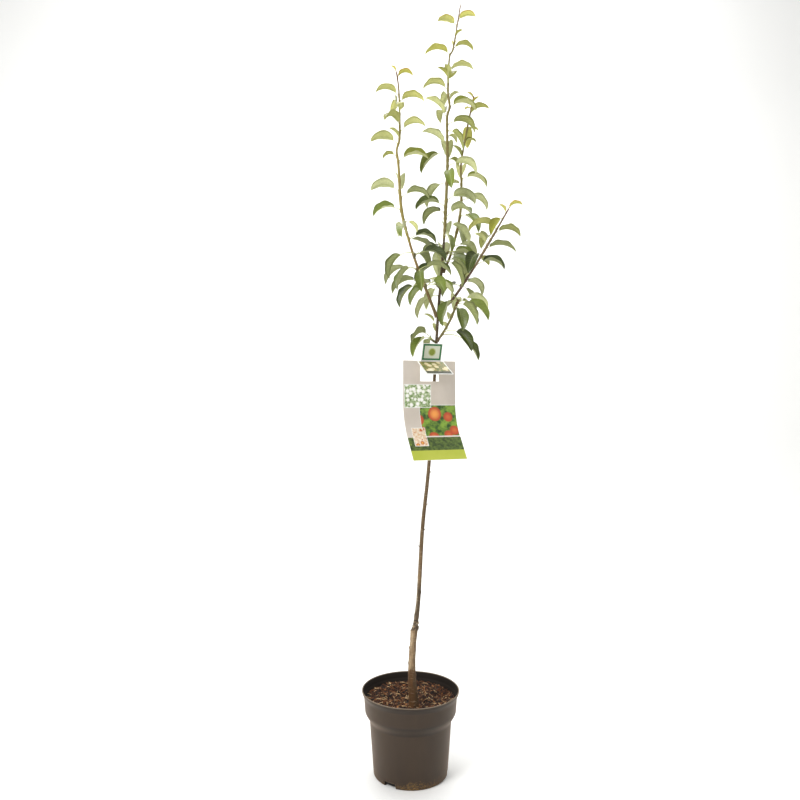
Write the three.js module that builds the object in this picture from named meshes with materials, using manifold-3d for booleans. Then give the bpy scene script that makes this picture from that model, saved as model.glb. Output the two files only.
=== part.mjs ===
// A young Williams pear tree in a plastic nursery pot, with a printed hang label on its trunk.
// Millimetres, +Z up. The origin is on the ground under the middle of the pot.
// It is seen from the front along +Y, so east is +X and north is +Y, away from the viewer.
import * as THREE from 'three';
import { mergeVertices } from 'three/addons/utils/BufferGeometryUtils.js';
import Module from 'manifold-3d';

const wasm = await Module();
wasm.setup();

// Gap kept between two pieces that touch on the real plant
const FIT_GAP = 0.3;

// The pot and its filling
const POT_SIDES = 36;
const POT = {
  height: 171, rim: 100, rimBand: 2.5, rimBevel: 0.8, wall: 1.8, wallSlope: 0.6, floor: 2.5,
  foot: 76, footRound: 2, footBevel: 1.5, slant: 0.073,
  levels: [52, 107, 112, 117, 122, 127, 132, 156], rimLevels: [161, 165],
};
// The pot widens in a step at its collar and again at its rim, each between two heights
const COLLAR = { step: 8.2, from: 108, to: 130 };
const RIM_FLARE = { step: 3.4, from: 156, to: 169 };
const SOIL = { height: 148, dropAtWall: 2, flatRadius: 60, footBevel: 1.7 };
const DRAIN = { width: 28, height: 7, inner: 66, outer: 82, firstTurn: -123.5, count: 3 };

// The trunk: a thick rootstock with a slimmer stem grafted on it, up to where the leading shoot goes on
const TRUNK_SIDES = 12;
const TRUNK_TOP = 1094;
const TRUNK_STEP = { low: 18, high: 66, change: 350 };
const BOUGH_SIDES = 8;
const BOUGH_STEP = 20;
const ROOTSTOCK = { foot: 9.2, top: 5.9 };
const GRAFT = { height: 303, blend: 13, bulge: 1.5, bulgeHeight: 310, bulgeSpan: 22 };
const STEM = { low: 4.5, high: 2.5 };
const ROOT_FLARE = { radius: 1.6, fade: 14 };

// A leaf and its stalk. The stalk starts at the rise and turns down by the drop, the midrib by the bend
// after it, and leaves near a shoot's tip stand higher by up to the lift.
const LEAF = { length: 54, shorter: 25, spur: 56, widthShare: 0.55, thickness: 1.2, small: 0.5 };
const STALK = { length: 22, shorter: 16, spur: 25, longer: 1.7, radius: 0.8 };
const LEAF_POSE = { rise: 34, drop: 18, bend: 84, lift: 32 };
const SPUR_POSE = { rise: 30, drop: 26, bend: 76, lift: 0 };
const HANGING_POSE = { rise: 20, drop: 55, bend: 42, lift: 0 };
const UPRIGHT_POSE = { rise: 66, drop: 4, bend: 44, lift: 0 };
const LEAF_ROLL = 34;
const LEAF_FOLD = 42;
const SPREAD = { size: 0.08, stalk: 0.25, turn: 14, rise: 9, bend: 15, roll: 11, fold: 8, swerve: 16 };
const STALK_STEPS = 6;
const BLADE_STEPS = 20;
const SHAPE_STEPS = [0, 6, 8, 12, 17, 22, 26];
const SAMPLE_STEPS = [1, 2, 4, 6, 8, 11, 14, 17, 20, 23, 26];

// How near a leaf may come to what has already grown, and the turns that are tried before it is skipped
const LIMB_POINT_STEP = 5;
const CLEAR = { otherLeaves: 6.8, ownLeaves: 4.5, limbs: 3, ownStem: 0.5, stalkFromLimbs: 1.2 };
const TURNS_TO_TRY = [0, 22, -22, 44, -44, 66, -66, 88, -88];

// Shoots and spurs
const SHOOT_CELL = 12;
const SHOOT_SIDES = 6;
const SHOOT_STEP = 26;
const TIP_MARGIN = 1;
const SPUR = { length: 14, rise: 35, sag: 1, foot: 2.4, tip: 1.7, cell: 3 };

// Centre lines, each as a few turning points
const MAIN_ROUTE = [
  [7, -28, 140], [2.2, -27, 221], [7.1, -22, 295], [15.7, -14, 357], [24.6, -2, 502],
  [37.7, 0, 630], [49.4, 0, 812], [57, 0, 946], [68.8, 0, 1094], [75.8, 0, 1243],
  [75.1, -2, 1342], [80.3, -3, 1369], [77, -4, 1401], [79.7, -6, 1468], [87.9, -7, 1490],
  [102.4, -8, 1576],
];
const LEFT_ROUTE = [
  [54.2, 0, 937], [20, -20, 1020], [-1.5, -30, 1081], [-18.7, -36, 1149], [-24.7, -40, 1236],
  [-28.3, -40, 1267], [-22.3, -42, 1295], [-23.7, -45, 1379], [-28.7, -46, 1422],
];
const BACK_ROUTE = [
  [67.6, 0, 1030], [86.2, 24, 1076], [105.6, 44, 1158], [109.6, 54, 1225], [108.9, 58, 1269],
  [122.3, 64, 1348], [137.5, 66, 1421],
];
const RIGHT_ROUTE = [
  [59.7, 0, 958], [80.8, -8, 966], [119.3, -22, 1020], [159.4, -36, 1086], [195.5, -48, 1148],
];
const LOW_ROUTE = [[55, 0, 887], [66.5, -4, 904], [81.2, -16, 930], [95.2, -30, 966]];

// Main boughs. Each leaves the trunk and ends where its shoot takes over, at a length along the route.
const BOUGHS = [
  { name: 'left_bough', route: LEFT_ROUTE, end: 160, foot: 3.4, tip: 2.5 },
  { name: 'back_bough', route: BACK_ROUTE, end: 60, foot: 3, tip: 2.4 },
  { name: 'right_bough', route: RIGHT_ROUTE, end: 107, foot: 3.2, tip: 2.3 },
  { name: 'low_bough', route: LOW_ROUTE, end: 12, foot: 2.4, tip: 2.2 },
];

// Leafy shoots. A plan is read from the foot up, a word for each place along the shoot: a compass
// direction is a leaf that way, in small letters a young leaf, and a dot is a bare place.
// After it, + turns the upper face to the front, - the under face, v hangs, ^ stands up and _ has a
// long stalk.
const SHOOTS = [
  {
    name: 'leader_shoot', route: MAIN_ROUTE, startHeight: TRUNK_TOP, foot: 2.45, tip: 0.8, seed: 11,
    plan: 'Sv- N NEv SE NW W+ E- . . NWv . Sv+ E- e Wv+ W^ N ne SEv- E '
      + 'W^ W+ E+ e^ N W S- w^ E n . W E n e^ . W- E-',
  },
  {
    name: 'left_shoot', route: LEFT_ROUTE, start: 160, foot: 2.4, tip: 0.9, seed: 23,
    plan: 'E+ S+ N ev- . W+ . E W- . N . . E+ w . W- w^ E SW . S- N E W . . E w^',
  },
  {
    name: 'back_shoot', route: BACK_ROUTE, start: 60, foot: 2.3, tip: 0.9, seed: 37,
    plan: 'NE . . N . . Sv+ . . E ne . w E+ . N . w^ . . e+ . e Nv . E n e^ w^',
  },
  {
    name: 'right_shoot', route: RIGHT_ROUTE, start: 107, foot: 2.2, tip: 0.9, seed: 41,
    plan: 'E+ e- SWv+ E w^- N E W . SWv+ w^ E',
  },
  {
    name: 'low_shoot', route: LOW_ROUTE, start: 12, foot: 2.2, tip: 1.5, seed: 55, cell: 5, spur: true,
    plan: 'Ev+_ SEv+_ . . . . . . . n . . . Sv SSEv- SEv+ E N+ e+ NW^ SWv',
  },
];

// Spurs: short woody stems that hold a rosette of leaves on long stalks, each at a length along its limb
const SPURS = [
  { name: 'left_spur_high', on: 'left_bough', at: 128, towards: 'S', seed: 61, plan: 'E+ N Wv-' },
  { name: 'left_spur_low', on: 'left_bough', at: 96, towards: 'SW', seed: 67, plan: 'Sv+ E SWv- W' },
  { name: 'left_spur_foot', on: 'left_bough', at: 62, towards: 'S', seed: 107, plan: 'E+ Wv+ NW' },
  { name: 'right_spur', on: 'right_bough', at: 62, towards: 'N', seed: 71, plan: 'NW Ev+ e^ NE' },
  { name: 'crown_spur_front', on: 'trunk', at: 1036, towards: 'S', seed: 73, plan: 'SSWv+ E+ NW^ SEv-' },
  { name: 'crown_spur_right', on: 'trunk', at: 1060, towards: 'E', seed: 79, plan: 'E+ SSEv- Ev- NE' },
  { name: 'crown_spur_back', on: 'trunk', at: 1074, towards: 'NW', seed: 83, plan: 'NW Nv W NE' },
  { name: 'middle_spur_left', on: 'trunk', at: 994, towards: 'SW', seed: 89, plan: 'Nv Wv+ SW SWv-' },
  { name: 'middle_spur_right', on: 'trunk', at: 972, towards: 'N', seed: 97, plan: 'NEv+ N NWv' },
  { name: 'collar_spur_left', on: 'trunk', at: 884, towards: 'W', seed: 103, plan: 'SW- N- SWv' },
  { name: 'collar_spur_right', on: 'trunk', at: 912, towards: 'N', seed: 103, plan: 'n w^ ne' },
];

// The hang label: a card with a window cut in it, a square header and a flap folded out of the window,
// held to the trunk by a strap
const LABEL = { width: 118, height: 212, thickness: 1, yaw: 23, offset: -18, top: 846, behind: 0.6 };
const LABEL_CURL = { start: 78, angle: 34, quickness: 1.6 };
const LABEL_STEPS = 10;
const WINDOW = { width: 42, height: 38, depth: 20, offset: 0, fromTop: 4 };
const HEADER = { width: 45, height: 36, offset: 5, overlap: 2 };
const FLAP = { width: 60, length: 54, dip: 31, offset: 1.5, fromTop: 1.5 };
const STRAP = { low: 865, high: 879, thickness: 1.4, sides: 16 };

// How finely a centre line is sampled, and how near two points are to be one
const ROUTE_SAMPLES = 400;
const DIRECTION_REACH = 2;
const NEARLY_LEVEL = 0.7;
const WELD = 1e-4;

const COMPASS = { E: 0, NE: 45, N: 90, NW: 135, W: 180, SW: 225, SSW: 247.5, S: 270, SSE: 292.5, SE: 315 };

// Random numbers that are the same in every run
function seededRandom(seed) {
  let state = seed;
  return () => {
    state = (state * 48271) % 2147483647;
    return state / 2147483647;
  };
}

const radians = THREE.MathUtils.degToRad;

// A centre line with its points spaced by their length along it
class Route {
  constructor(points) {
    const turningPoints = points.map((p) => new THREE.Vector3(...p));
    const curve = new THREE.CatmullRomCurve3(turningPoints, false, 'catmullrom', 0.5);
    this.samples = curve.getPoints(ROUTE_SAMPLES);
    this.lengths = [0];
    for (let i = 1; i < this.samples.length; i += 1) {
      this.lengths.push(this.lengths[i - 1] + this.samples[i].distanceTo(this.samples[i - 1]));
    }
    this.length = this.lengths.at(-1);
  }

  at(length) {
    let i = this.lengths.findIndex((reached) => reached >= length);
    i = i < 0 ? this.samples.length - 1 : Math.max(i, 1);
    const share = (length - this.lengths[i - 1]) / (this.lengths[i] - this.lengths[i - 1]);
    return this.samples[i - 1].clone().lerp(this.samples[i], share);
  }

  direction(length) {
    const ahead = this.at(Math.min(length + DIRECTION_REACH, this.length));
    const behind = this.at(Math.max(length - DIRECTION_REACH, 0));
    return ahead.sub(behind).normalize();
  }

  lengthAtHeight(height) {
    return this.lengths[this.samples.findIndex((p) => p.z >= height)];
  }
}

// A closed mesh through rings of points, whose last ring may be a single point
function loft(rings) {
  const vertices = rings.flat();
  const faces = [];
  let start = 0;
  for (let r = 0; r + 1 < rings.length; r += 1) {
    const here = rings[r].length;
    const next = rings[r + 1].length;
    for (let k = 0; k < here; k += 1) {
      const a = start + k;
      const b = start + ((k + 1) % here);
      if (next === 1) {
        faces.push(a, b, start + here);
      } else {
        faces.push(a, b, b + here, a, b + here, a + here);
      }
    }
    start += here;
  }
  const capped = [[0, rings[0].length, true], [start, rings.at(-1).length, false]];
  for (const [first, count, turned] of capped) {
    for (let k = 1; k + 1 < count; k += 1) {
      faces.push(first, first + (turned ? k + 1 : k), first + (turned ? k : k + 1));
    }
  }
  if (signedVolume(vertices, faces) < 0) {
    faces.reverse();
  }
  const geometry = new THREE.BufferGeometry();
  const numbers = vertices.flatMap((v) => v.toArray());
  geometry.setAttribute('position', new THREE.Float32BufferAttribute(numbers, 3));
  geometry.setIndex(faces);
  return geometry;
}

function signedVolume(vertices, faces) {
  let volume = 0;
  for (let i = 0; i < faces.length; i += 3) {
    const [a, b, c] = [vertices[faces[i]], vertices[faces[i + 1]], vertices[faces[i + 2]]];
    volume += a.dot(b.clone().cross(c)) / 6;
  }
  return volume;
}

// Solids for joining and cutting, and back to a geometry
function solidOf(geometry) {
  const bare = geometry.clone();
  bare.deleteAttribute('normal');
  bare.deleteAttribute('uv');
  const merged = mergeVertices(bare, WELD);
  return new wasm.Manifold(new wasm.Mesh({
    numProp: 3,
    vertProperties: new Float32Array(merged.attributes.position.array),
    triVerts: new Uint32Array(merged.index.array),
  }));
}

function geometryOf(solid) {
  const mesh = solid.getMesh();
  const geometry = new THREE.BufferGeometry();
  geometry.setAttribute('position', new THREE.BufferAttribute(new Float32Array(mesh.vertProperties), 3));
  geometry.setIndex(Array.from(mesh.triVerts));
  return geometry;
}

// The largest piece of a solid, without loose scraps
function largest(solid) {
  return solid.decompose().reduce((best, piece) => (piece.volume() > best.volume() ? piece : best));
}

// A limb: rings of points round a route, with the radius given at each length
function limbGeometry(route, lengths, radiusAt, sides) {
  const chord = route.at(lengths.at(-1)).sub(route.at(lengths[0])).normalize();
  const alongY = Math.abs(chord.y) > NEARLY_LEVEL;
  const reference = alongY ? new THREE.Vector3(1, 0, 0) : new THREE.Vector3(0, 1, 0);
  return loft(lengths.map((length) => {
    const centre = route.at(length);
    const tangent = route.direction(length);
    const across = reference.clone().cross(tangent).normalize();
    const beside = tangent.clone().cross(across);
    const radius = radiusAt(length, centre.z);
    return Array.from({ length: sides }, (_, k) => {
      const turn = (k / sides) * Math.PI * 2;
      return centre.clone()
        .addScaledVector(across, Math.cos(turn) * radius)
        .addScaledVector(beside, Math.sin(turn) * radius);
    });
  }));
}

function evenLengths(from, to, step) {
  const count = Math.max(2, Math.round((to - from) / step));
  return Array.from({ length: count + 1 }, (_, i) => from + ((to - from) * i) / count);
}

// The trunk's radius at a height
function trunkRadius(height) {
  const foot = SOIL.height;
  const stock = THREE.MathUtils.mapLinear(height, foot, GRAFT.height, ROOTSTOCK.foot, ROOTSTOCK.top);
  const stem = THREE.MathUtils.mapLinear(height, GRAFT.height, TRUNK_TOP, STEM.low, STEM.high);
  const share = THREE.MathUtils.smoothstep(height, GRAFT.height - GRAFT.blend, GRAFT.height + GRAFT.blend);
  const bulge = GRAFT.bulge * Math.exp(-(((height - GRAFT.bulgeHeight) / GRAFT.bulgeSpan) ** 2));
  const flare = ROOT_FLARE.radius * Math.exp(-(height - foot) / ROOT_FLARE.fade);
  return THREE.MathUtils.lerp(stock, stem, share) + bulge + flare;
}

function trunkLengths(route) {
  const change = route.lengthAtHeight(TRUNK_STEP.change);
  const low = evenLengths(0, change, TRUNK_STEP.low);
  const high = evenLengths(change, route.lengthAtHeight(TRUNK_TOP), TRUNK_STEP.high);
  return [...low, ...high.slice(1)];
}

// Width of a leaf at a share of its length, as a share of its widest: an egg shape with a pointed tip
function bladeWidth(share) {
  return 2.674 * share ** 0.6 * (1 - share) ** 0.85;
}

// What a word of a plan says
function readPlanWord(word, usualPose) {
  const [, letters, marks] = word.match(/^([NSEWnsew]+)(.*)$/);
  return {
    turn: COMPASS[letters.toUpperCase()],
    young: letters === letters.toLowerCase(),
    facing: (marks.includes('+') ? 1 : 0) - (marks.includes('-') ? 1 : 0),
    pose: marks.includes('v') ? HANGING_POSE : (marks.includes('^') ? UPRIGHT_POSE : usualPose),
    longStalk: marks.includes('_'),
  };
}

// The sizes and angles of one leaf, with its own small differences
function drawLeaf(word, share, spur, random) {
  const plan = readPlanWord(word, spur ? SPUR_POSE : LEAF_POSE);
  const vary = (amount) => (random() * 2 - 1) * amount;
  const scale = (plan.young ? LEAF.small : 1) * (1 + vary(SPREAD.size));
  const turn = plan.turn + vary(SPREAD.turn);
  const rise = plan.pose.rise + plan.pose.lift * share ** 2 + vary(SPREAD.rise);
  const bend = plan.pose.bend + vary(SPREAD.bend);
  const sideways = plan.turn > 90 && plan.turn < 270 ? 1 : -1;
  const roll = sideways * plan.facing * LEAF_ROLL + vary(SPREAD.roll);
  const fold = LEAF_FOLD + vary(SPREAD.fold);
  const swerve = vary(SPREAD.swerve);
  const length = (spur ? LEAF.spur : LEAF.length - LEAF.shorter * share ** 5) * scale;
  const fullStalk = spur ? STALK.spur : STALK.length - STALK.shorter * share;
  const stalkScale = (plan.young ? LEAF.small : 1) * (plan.longStalk ? STALK.longer : 1);
  const stalk = fullStalk * stalkScale * (1 + vary(SPREAD.stalk));
  return { turn, rise, drop: plan.pose.drop, bend, roll, fold, swerve, length, stalk };
}

// The line of a stalk and midrib from its root, with the directions across and above the leaf
function leafSpine(root, leaf, extraTurn) {
  const spine = [];
  const point = root.clone();
  for (let step = 0; step <= STALK_STEPS + BLADE_STEPS; step += 1) {
    const share = Math.max(0, step - STALK_STEPS) / BLADE_STEPS;
    const dropped = Math.min(step, STALK_STEPS) / STALK_STEPS;
    const elevation = radians(leaf.rise - leaf.drop * dropped - leaf.bend * share);
    const heading = radians(leaf.turn + extraTurn + leaf.swerve * share);
    const tangent = new THREE.Vector3(
      Math.cos(elevation) * Math.cos(heading),
      Math.cos(elevation) * Math.sin(heading),
      Math.sin(elevation),
    );
    const level = new THREE.Vector3(-Math.sin(heading), Math.cos(heading), 0);
    const upright = tangent.clone().cross(level);
    const roll = radians(leaf.roll);
    const across = level.clone().multiplyScalar(Math.cos(roll)).addScaledVector(upright, -Math.sin(roll));
    const above = upright.clone().multiplyScalar(Math.cos(roll)).addScaledVector(level, Math.sin(roll));
    const halfWidth = 0.5 * LEAF.widthShare * leaf.length * bladeWidth(share);
    spine.push({ point: point.clone(), across, above, halfWidth });
    point.addScaledVector(tangent, step < STALK_STEPS ? leaf.stalk / STALK_STEPS : leaf.length / BLADE_STEPS);
  }
  return spine;
}

// A point on the blade: -1 and 1 are its two margins, raised by the fold, and 0 is the midrib
function bladePoint(station, leaf, column) {
  const fold = radians(leaf.fold);
  return station.point.clone()
    .addScaledVector(station.across, Math.cos(fold) * station.halfWidth * column)
    .addScaledVector(station.above, Math.sin(fold) * station.halfWidth * Math.abs(column));
}

function leafGeometry(spine, leaf) {
  return loft(SHAPE_STEPS.map((step) => {
    const station = spine[step];
    if (step === spine.length - 1) {
      return [station.point];
    }
    const onStalk = step <= STALK_STEPS;
    const half = onStalk ? STALK.radius : LEAF.thickness / 2;
    const top = station.point.clone().addScaledVector(station.above, half);
    const bottom = station.point.clone().addScaledVector(station.above, -half);
    const left = onStalk
      ? station.point.clone().addScaledVector(station.across, -half)
      : bladePoint(station, leaf, -1);
    const right = onStalk
      ? station.point.clone().addScaledVector(station.across, half)
      : bladePoint(station, leaf, 1);
    return [left, top, right, bottom];
  }));
}

// What has grown so far, as points that later leaves keep clear of
class GrownSpace {
  constructor() {
    this.leafPoints = [];
    this.limbPoints = [];
  }

  addLimb(owner, route, from, to, radiusAt) {
    for (const length of evenLengths(from, to, LIMB_POINT_STEP)) {
      const point = route.at(length);
      this.limbPoints.push({ owner, point, radius: radiusAt(length, point.z) });
    }
  }

  addSheet(points) {
    this.leafPoints.push(...points.map((point) => ({ owner: 'label', point })));
  }

  leafSamples(spine, leaf) {
    return SAMPLE_STEPS.flatMap((step) => {
      const columns = step <= STALK_STEPS ? [0] : [-1, -0.5, 0, 0.5, 1];
      return columns.map((column) => ({ step, point: bladePoint(spine[step], leaf, column) }));
    });
  }

  accepts(owner, samples) {
    return samples.every(({ step, point }) => {
      const onStalk = step <= STALK_STEPS;
      const clearOfLimbs = this.limbPoints.every((limb) => {
        const own = limb.owner === owner;
        const bladeClear = own ? CLEAR.ownStem : CLEAR.limbs;
        const clear = limb.radius + (onStalk ? CLEAR.stalkFromLimbs : bladeClear);
        return (own && onStalk) || limb.point.distanceTo(point) > clear;
      });
      const clearOfLeaves = this.leafPoints.every((grown) => {
        const own = grown.owner === owner;
        return (own && onStalk)
          || grown.point.distanceTo(point) > (own ? CLEAR.ownLeaves : CLEAR.otherLeaves);
      });
      return clearOfLimbs && clearOfLeaves;
    });
  }

  addLeaf(owner, samples) {
    this.leafPoints.push(...samples.map(({ point }) => ({ owner, point })));
  }
}

// The stem of a shoot or spur, as a route with the radius at each length
function stemOf(plan, limbs) {
  if (plan.route) {
    const route = new Route(plan.route);
    const start = (plan.start ?? route.lengthAtHeight(plan.startHeight)) + FIT_GAP;
    const end = route.length;
    const radiusAt = (length) => THREE.MathUtils.mapLinear(length, start, end, plan.foot, plan.tip);
    return { route, start, end, radiusAt };
  }
  const carrier = limbs.get(plan.on);
  const along = plan.on === 'trunk' ? carrier.route.lengthAtHeight(plan.at) : plan.at;
  const foot = carrier.route.at(along);
  const turn = radians(COMPASS[plan.towards]);
  const rise = radians(SPUR.rise);
  const heading = new THREE.Vector3(
    Math.cos(turn) * Math.cos(rise),
    Math.sin(turn) * Math.cos(rise),
    Math.sin(rise),
  );
  const tip = foot.clone().addScaledVector(heading, SPUR.length);
  const middle = foot.clone().lerp(tip, 0.5).add(new THREE.Vector3(0, 0, -SPUR.sag));
  const route = new Route([foot, middle, tip].map((p) => p.toArray()));
  const radiusAt = (length) => THREE.MathUtils.mapLinear(length, 0, route.length, SPUR.foot, SPUR.tip);
  return { route, start: 0, end: route.length, radiusAt, carrier };
}

// One mass: its stem with its leaves fused on. A leaf that finds no room is skipped.
function growMass(plan, stem, space) {
  const random = seededRandom(plan.seed);
  const words = plan.plan.split(' ');
  const span = stem.end - stem.start;
  const cell = plan.cell ?? (plan.route ? SHOOT_CELL : SPUR.cell);
  const firstPlace = plan.route ? stem.start + cell / 2 : stem.end - cell * (words.length - 1) - TIP_MARGIN;
  const stalkIsLong = !plan.route || plan.spur === true;
  const stemLengths = plan.route ? evenLengths(stem.start, stem.end, SHOOT_STEP) : [0, span / 2, span];
  let solid = solidOf(limbGeometry(stem.route, stemLengths, stem.radiusAt, SHOOT_SIDES));
  words.forEach((word, place) => {
    if (word === '.') {
      return;
    }
    const length = Math.min(firstPlace + cell * place, stem.end - TIP_MARGIN);
    const share = stalkIsLong ? 0 : (length - stem.start) / span;
    const leaf = drawLeaf(word, share, stalkIsLong, random);
    const root = stem.route.at(length);
    for (const extraTurn of TURNS_TO_TRY) {
      const spine = leafSpine(root, leaf, extraTurn);
      const samples = space.leafSamples(spine, leaf);
      if (space.accepts(plan.name, samples)) {
        space.addLeaf(plan.name, samples);
        solid = solid.add(solidOf(leafGeometry(spine, leaf)));
        return;
      }
    }
  });
  return largest(stem.carrier ? solid.subtract(stem.carrier.clearance) : solid);
}

// The pot: a thin wall with a wide collar, turned round its axis, with slots at its foot for draining
function potRadius(height) {
  const steps = [COLLAR, RIM_FLARE].map(({ step, from, to }) => step * THREE.MathUtils.smoothstep(height, from, to));
  return POT.foot + POT.slant * height + steps[0] + steps[1];
}

function potProfile(levels, inset) {
  return levels.map((level) => new THREE.Vector2(potRadius(level) - inset, level + inset * POT.wallSlope));
}

function buildPot() {
  const rim = [
    new THREE.Vector2(POT.rim, POT.height - POT.rimBand),
    new THREE.Vector2(POT.rim, POT.height - POT.rimBevel),
    new THREE.Vector2(POT.rim - POT.rimBevel, POT.height),
    new THREE.Vector2(POT.rim - POT.wall, POT.height),
  ];
  const inner = potProfile(POT.levels, POT.wall).reverse();
  const innerFoot = POT.foot - POT.wall;
  const profile = [
    new THREE.Vector2(0, 0),
    new THREE.Vector2(POT.foot - POT.footBevel, 0),
    new THREE.Vector2(POT.foot, POT.footRound),
    ...potProfile([...POT.levels, ...POT.rimLevels], 0),
    ...rim,
    ...inner,
    new THREE.Vector2(innerFoot, POT.floor + POT.footBevel),
    new THREE.Vector2(innerFoot - POT.footBevel, POT.floor),
    new THREE.Vector2(0, POT.floor),
  ];
  let solid = solidOf(turned(profile, POT_SIDES));
  for (let i = 0; i < DRAIN.count; i += 1) {
    const slot = new THREE.BoxGeometry(DRAIN.outer - DRAIN.inner, DRAIN.width, DRAIN.height * 2);
    slot.translate((DRAIN.inner + DRAIN.outer) / 2, 0, 0);
    slot.rotateZ(radians(DRAIN.firstTurn + (360 / DRAIN.count) * i));
    solid = solid.subtract(solidOf(slot));
  }
  return solid;
}

// A profile of radius and height turned round the upright axis
function turned(profile, sides) {
  const geometry = new THREE.LatheGeometry(profile, sides);
  geometry.rotateX(Math.PI / 2);
  return geometry;
}

function buildSoil() {
  const top = SOIL.height - SOIL.dropAtWall;
  const inset = POT.wall + FIT_GAP;
  const wall = potProfile(POT.levels, inset).filter((point) => point.y < top);
  const atWall = new THREE.Vector2(potRadius(top - inset * POT.wallSlope) - inset, top);
  const foot = POT.foot - inset;
  const floor = POT.floor + FIT_GAP;
  const profile = [
    new THREE.Vector2(0, floor),
    new THREE.Vector2(foot - SOIL.footBevel, floor),
    new THREE.Vector2(foot, floor + POT.footRound),
    ...wall,
    atWall,
    new THREE.Vector2(SOIL.flatRadius, SOIL.height),
    new THREE.Vector2(0, SOIL.height),
  ];
  return solidOf(turned(profile, POT_SIDES));
}

// The label's own directions: along its width, out of its front, and where its back touches the strap
function labelFrame(trunkRoute) {
  const yaw = radians(LABEL.yaw);
  const out = new THREE.Vector3(Math.sin(yaw), -Math.cos(yaw), 0);
  const wide = new THREE.Vector3(Math.cos(yaw), Math.sin(yaw), 0);
  const strapLength = trunkRoute.lengthAtHeight((STRAP.low + STRAP.high) / 2);
  const centre = trunkRoute.at(strapLength);
  const reach = trunkRadius(centre.z) + FIT_GAP + STRAP.thickness + FIT_GAP;
  const origin = centre.clone().addScaledVector(out, reach + LABEL.behind);
  return { out, wide, origin, centre, tangent: trunkRoute.direction(strapLength) };
}

// The card's line from its top edge down, with its lower part curled towards the front
function labelLine(frame) {
  const line = [];
  const point = new THREE.Vector3(frame.origin.x, frame.origin.y, LABEL.top);
  const step = LABEL.height / LABEL_STEPS;
  for (let i = 0; i <= LABEL_STEPS; i += 1) {
    const curled = Math.max(0, (i * step - LABEL_CURL.start) / (LABEL.height - LABEL_CURL.start));
    const angle = radians(LABEL_CURL.angle) * Math.min(1, curled * LABEL_CURL.quickness);
    const down = new THREE.Vector3(0, 0, -Math.cos(angle)).addScaledVector(frame.out, Math.sin(angle));
    const up = new THREE.Vector3(0, 0, Math.sin(angle));
    const normal = frame.out.clone().multiplyScalar(Math.cos(angle)).add(up);
    line.push({ point: point.clone(), normal });
    point.addScaledVector(down, step);
  }
  return line;
}

// A thin strip along a line of points, with its middle at an offset along the label's width
function stripGeometry(line, frame, offset, width) {
  return loft(line.map(({ point, normal }) => {
    const left = point.clone().addScaledVector(frame.wide, offset - width / 2);
    const right = point.clone().addScaledVector(frame.wide, offset + width / 2);
    const front = normal.clone().multiplyScalar(LABEL.thickness);
    return [left, right, right.clone().add(front), left.clone().add(front)];
  }));
}

function buildLabel(frame) {
  const line = labelLine(frame);
  const top = line[0].point;
  const card = solidOf(stripGeometry(line, frame, LABEL.offset, LABEL.width));

  const opening = new THREE.BoxGeometry(WINDOW.width, WINDOW.depth, WINDOW.height);
  opening.rotateZ(radians(LABEL.yaw));
  const middle = top.clone().addScaledVector(frame.wide, LABEL.offset + WINDOW.offset);
  opening.translate(middle.x, middle.y, LABEL.top - WINDOW.fromTop - WINDOW.height / 2);

  const headerLine = [LABEL.top - HEADER.overlap, LABEL.top + HEADER.height].map((height) => ({
    point: new THREE.Vector3(top.x, top.y, height),
    normal: frame.out,
  }));
  const header = solidOf(stripGeometry(headerLine, frame, LABEL.offset + HEADER.offset, HEADER.width));

  const dip = radians(FLAP.dip);
  const upright = (amount) => new THREE.Vector3(0, 0, amount);
  const flapDown = frame.out.clone().multiplyScalar(Math.cos(dip)).add(upright(-Math.sin(dip)));
  const flapNormal = frame.out.clone().multiplyScalar(Math.sin(dip)).add(upright(Math.cos(dip)));
  const flapStart = new THREE.Vector3(top.x, top.y, LABEL.top - FLAP.fromTop)
    .addScaledVector(frame.out, LABEL.thickness / 2);
  const flapLine = [0, FLAP.length].map((reach) => ({
    point: flapStart.clone().addScaledVector(flapDown, reach),
    normal: flapNormal,
  }));
  const flap = solidOf(stripGeometry(flapLine, frame, LABEL.offset + FLAP.offset, FLAP.width));
  return largest(card.subtract(solidOf(opening)).add(header).add(flap));
}

// Points over the label, for leaves to keep clear of
function labelPoints(frame) {
  return labelLine(frame).flatMap(({ point }) => [-0.5, -0.25, 0, 0.25, 0.5].map((share) => (
    point.clone().addScaledVector(frame.wide, LABEL.offset + share * LABEL.width)
  )));
}

function buildStrap(frame) {
  const inner = trunkRadius(frame.centre.z) + FIT_GAP;
  const half = (STRAP.high - STRAP.low) / 2;
  const profile = [
    [inner, -half], [inner + STRAP.thickness, -half], [inner + STRAP.thickness, half], [inner, half],
    [inner, -half],
  ].map(([radius, height]) => new THREE.Vector2(radius, height));
  const geometry = turned(profile, STRAP.sides);
  const turn = new THREE.Quaternion().setFromUnitVectors(new THREE.Vector3(0, 0, 1), frame.tangent);
  geometry.applyQuaternion(turn);
  geometry.translate(frame.centre.x, frame.centre.y, frame.centre.z);
  return solidOf(geometry);
}

// The finishes
const FINISH = {
  pot: new THREE.MeshStandardMaterial({ color: 0x4c443b, roughness: 0.55, metalness: 0 }),
  soil: new THREE.MeshStandardMaterial({ color: 0x5b3a26, roughness: 0.95, metalness: 0 }),
  bark: new THREE.MeshStandardMaterial({ color: 0x6b5a41, roughness: 0.8, metalness: 0 }),
  leaf: new THREE.MeshStandardMaterial({ color: 0x6f8a3c, roughness: 0.5, metalness: 0 }),
  label: new THREE.MeshStandardMaterial({ color: 0xd8cfc2, roughness: 0.35, metalness: 0 }),
  strap: new THREE.MeshStandardMaterial({ color: 0x2a2320, roughness: 0.7, metalness: 0 }),
};

const group = new THREE.Group();

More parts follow.
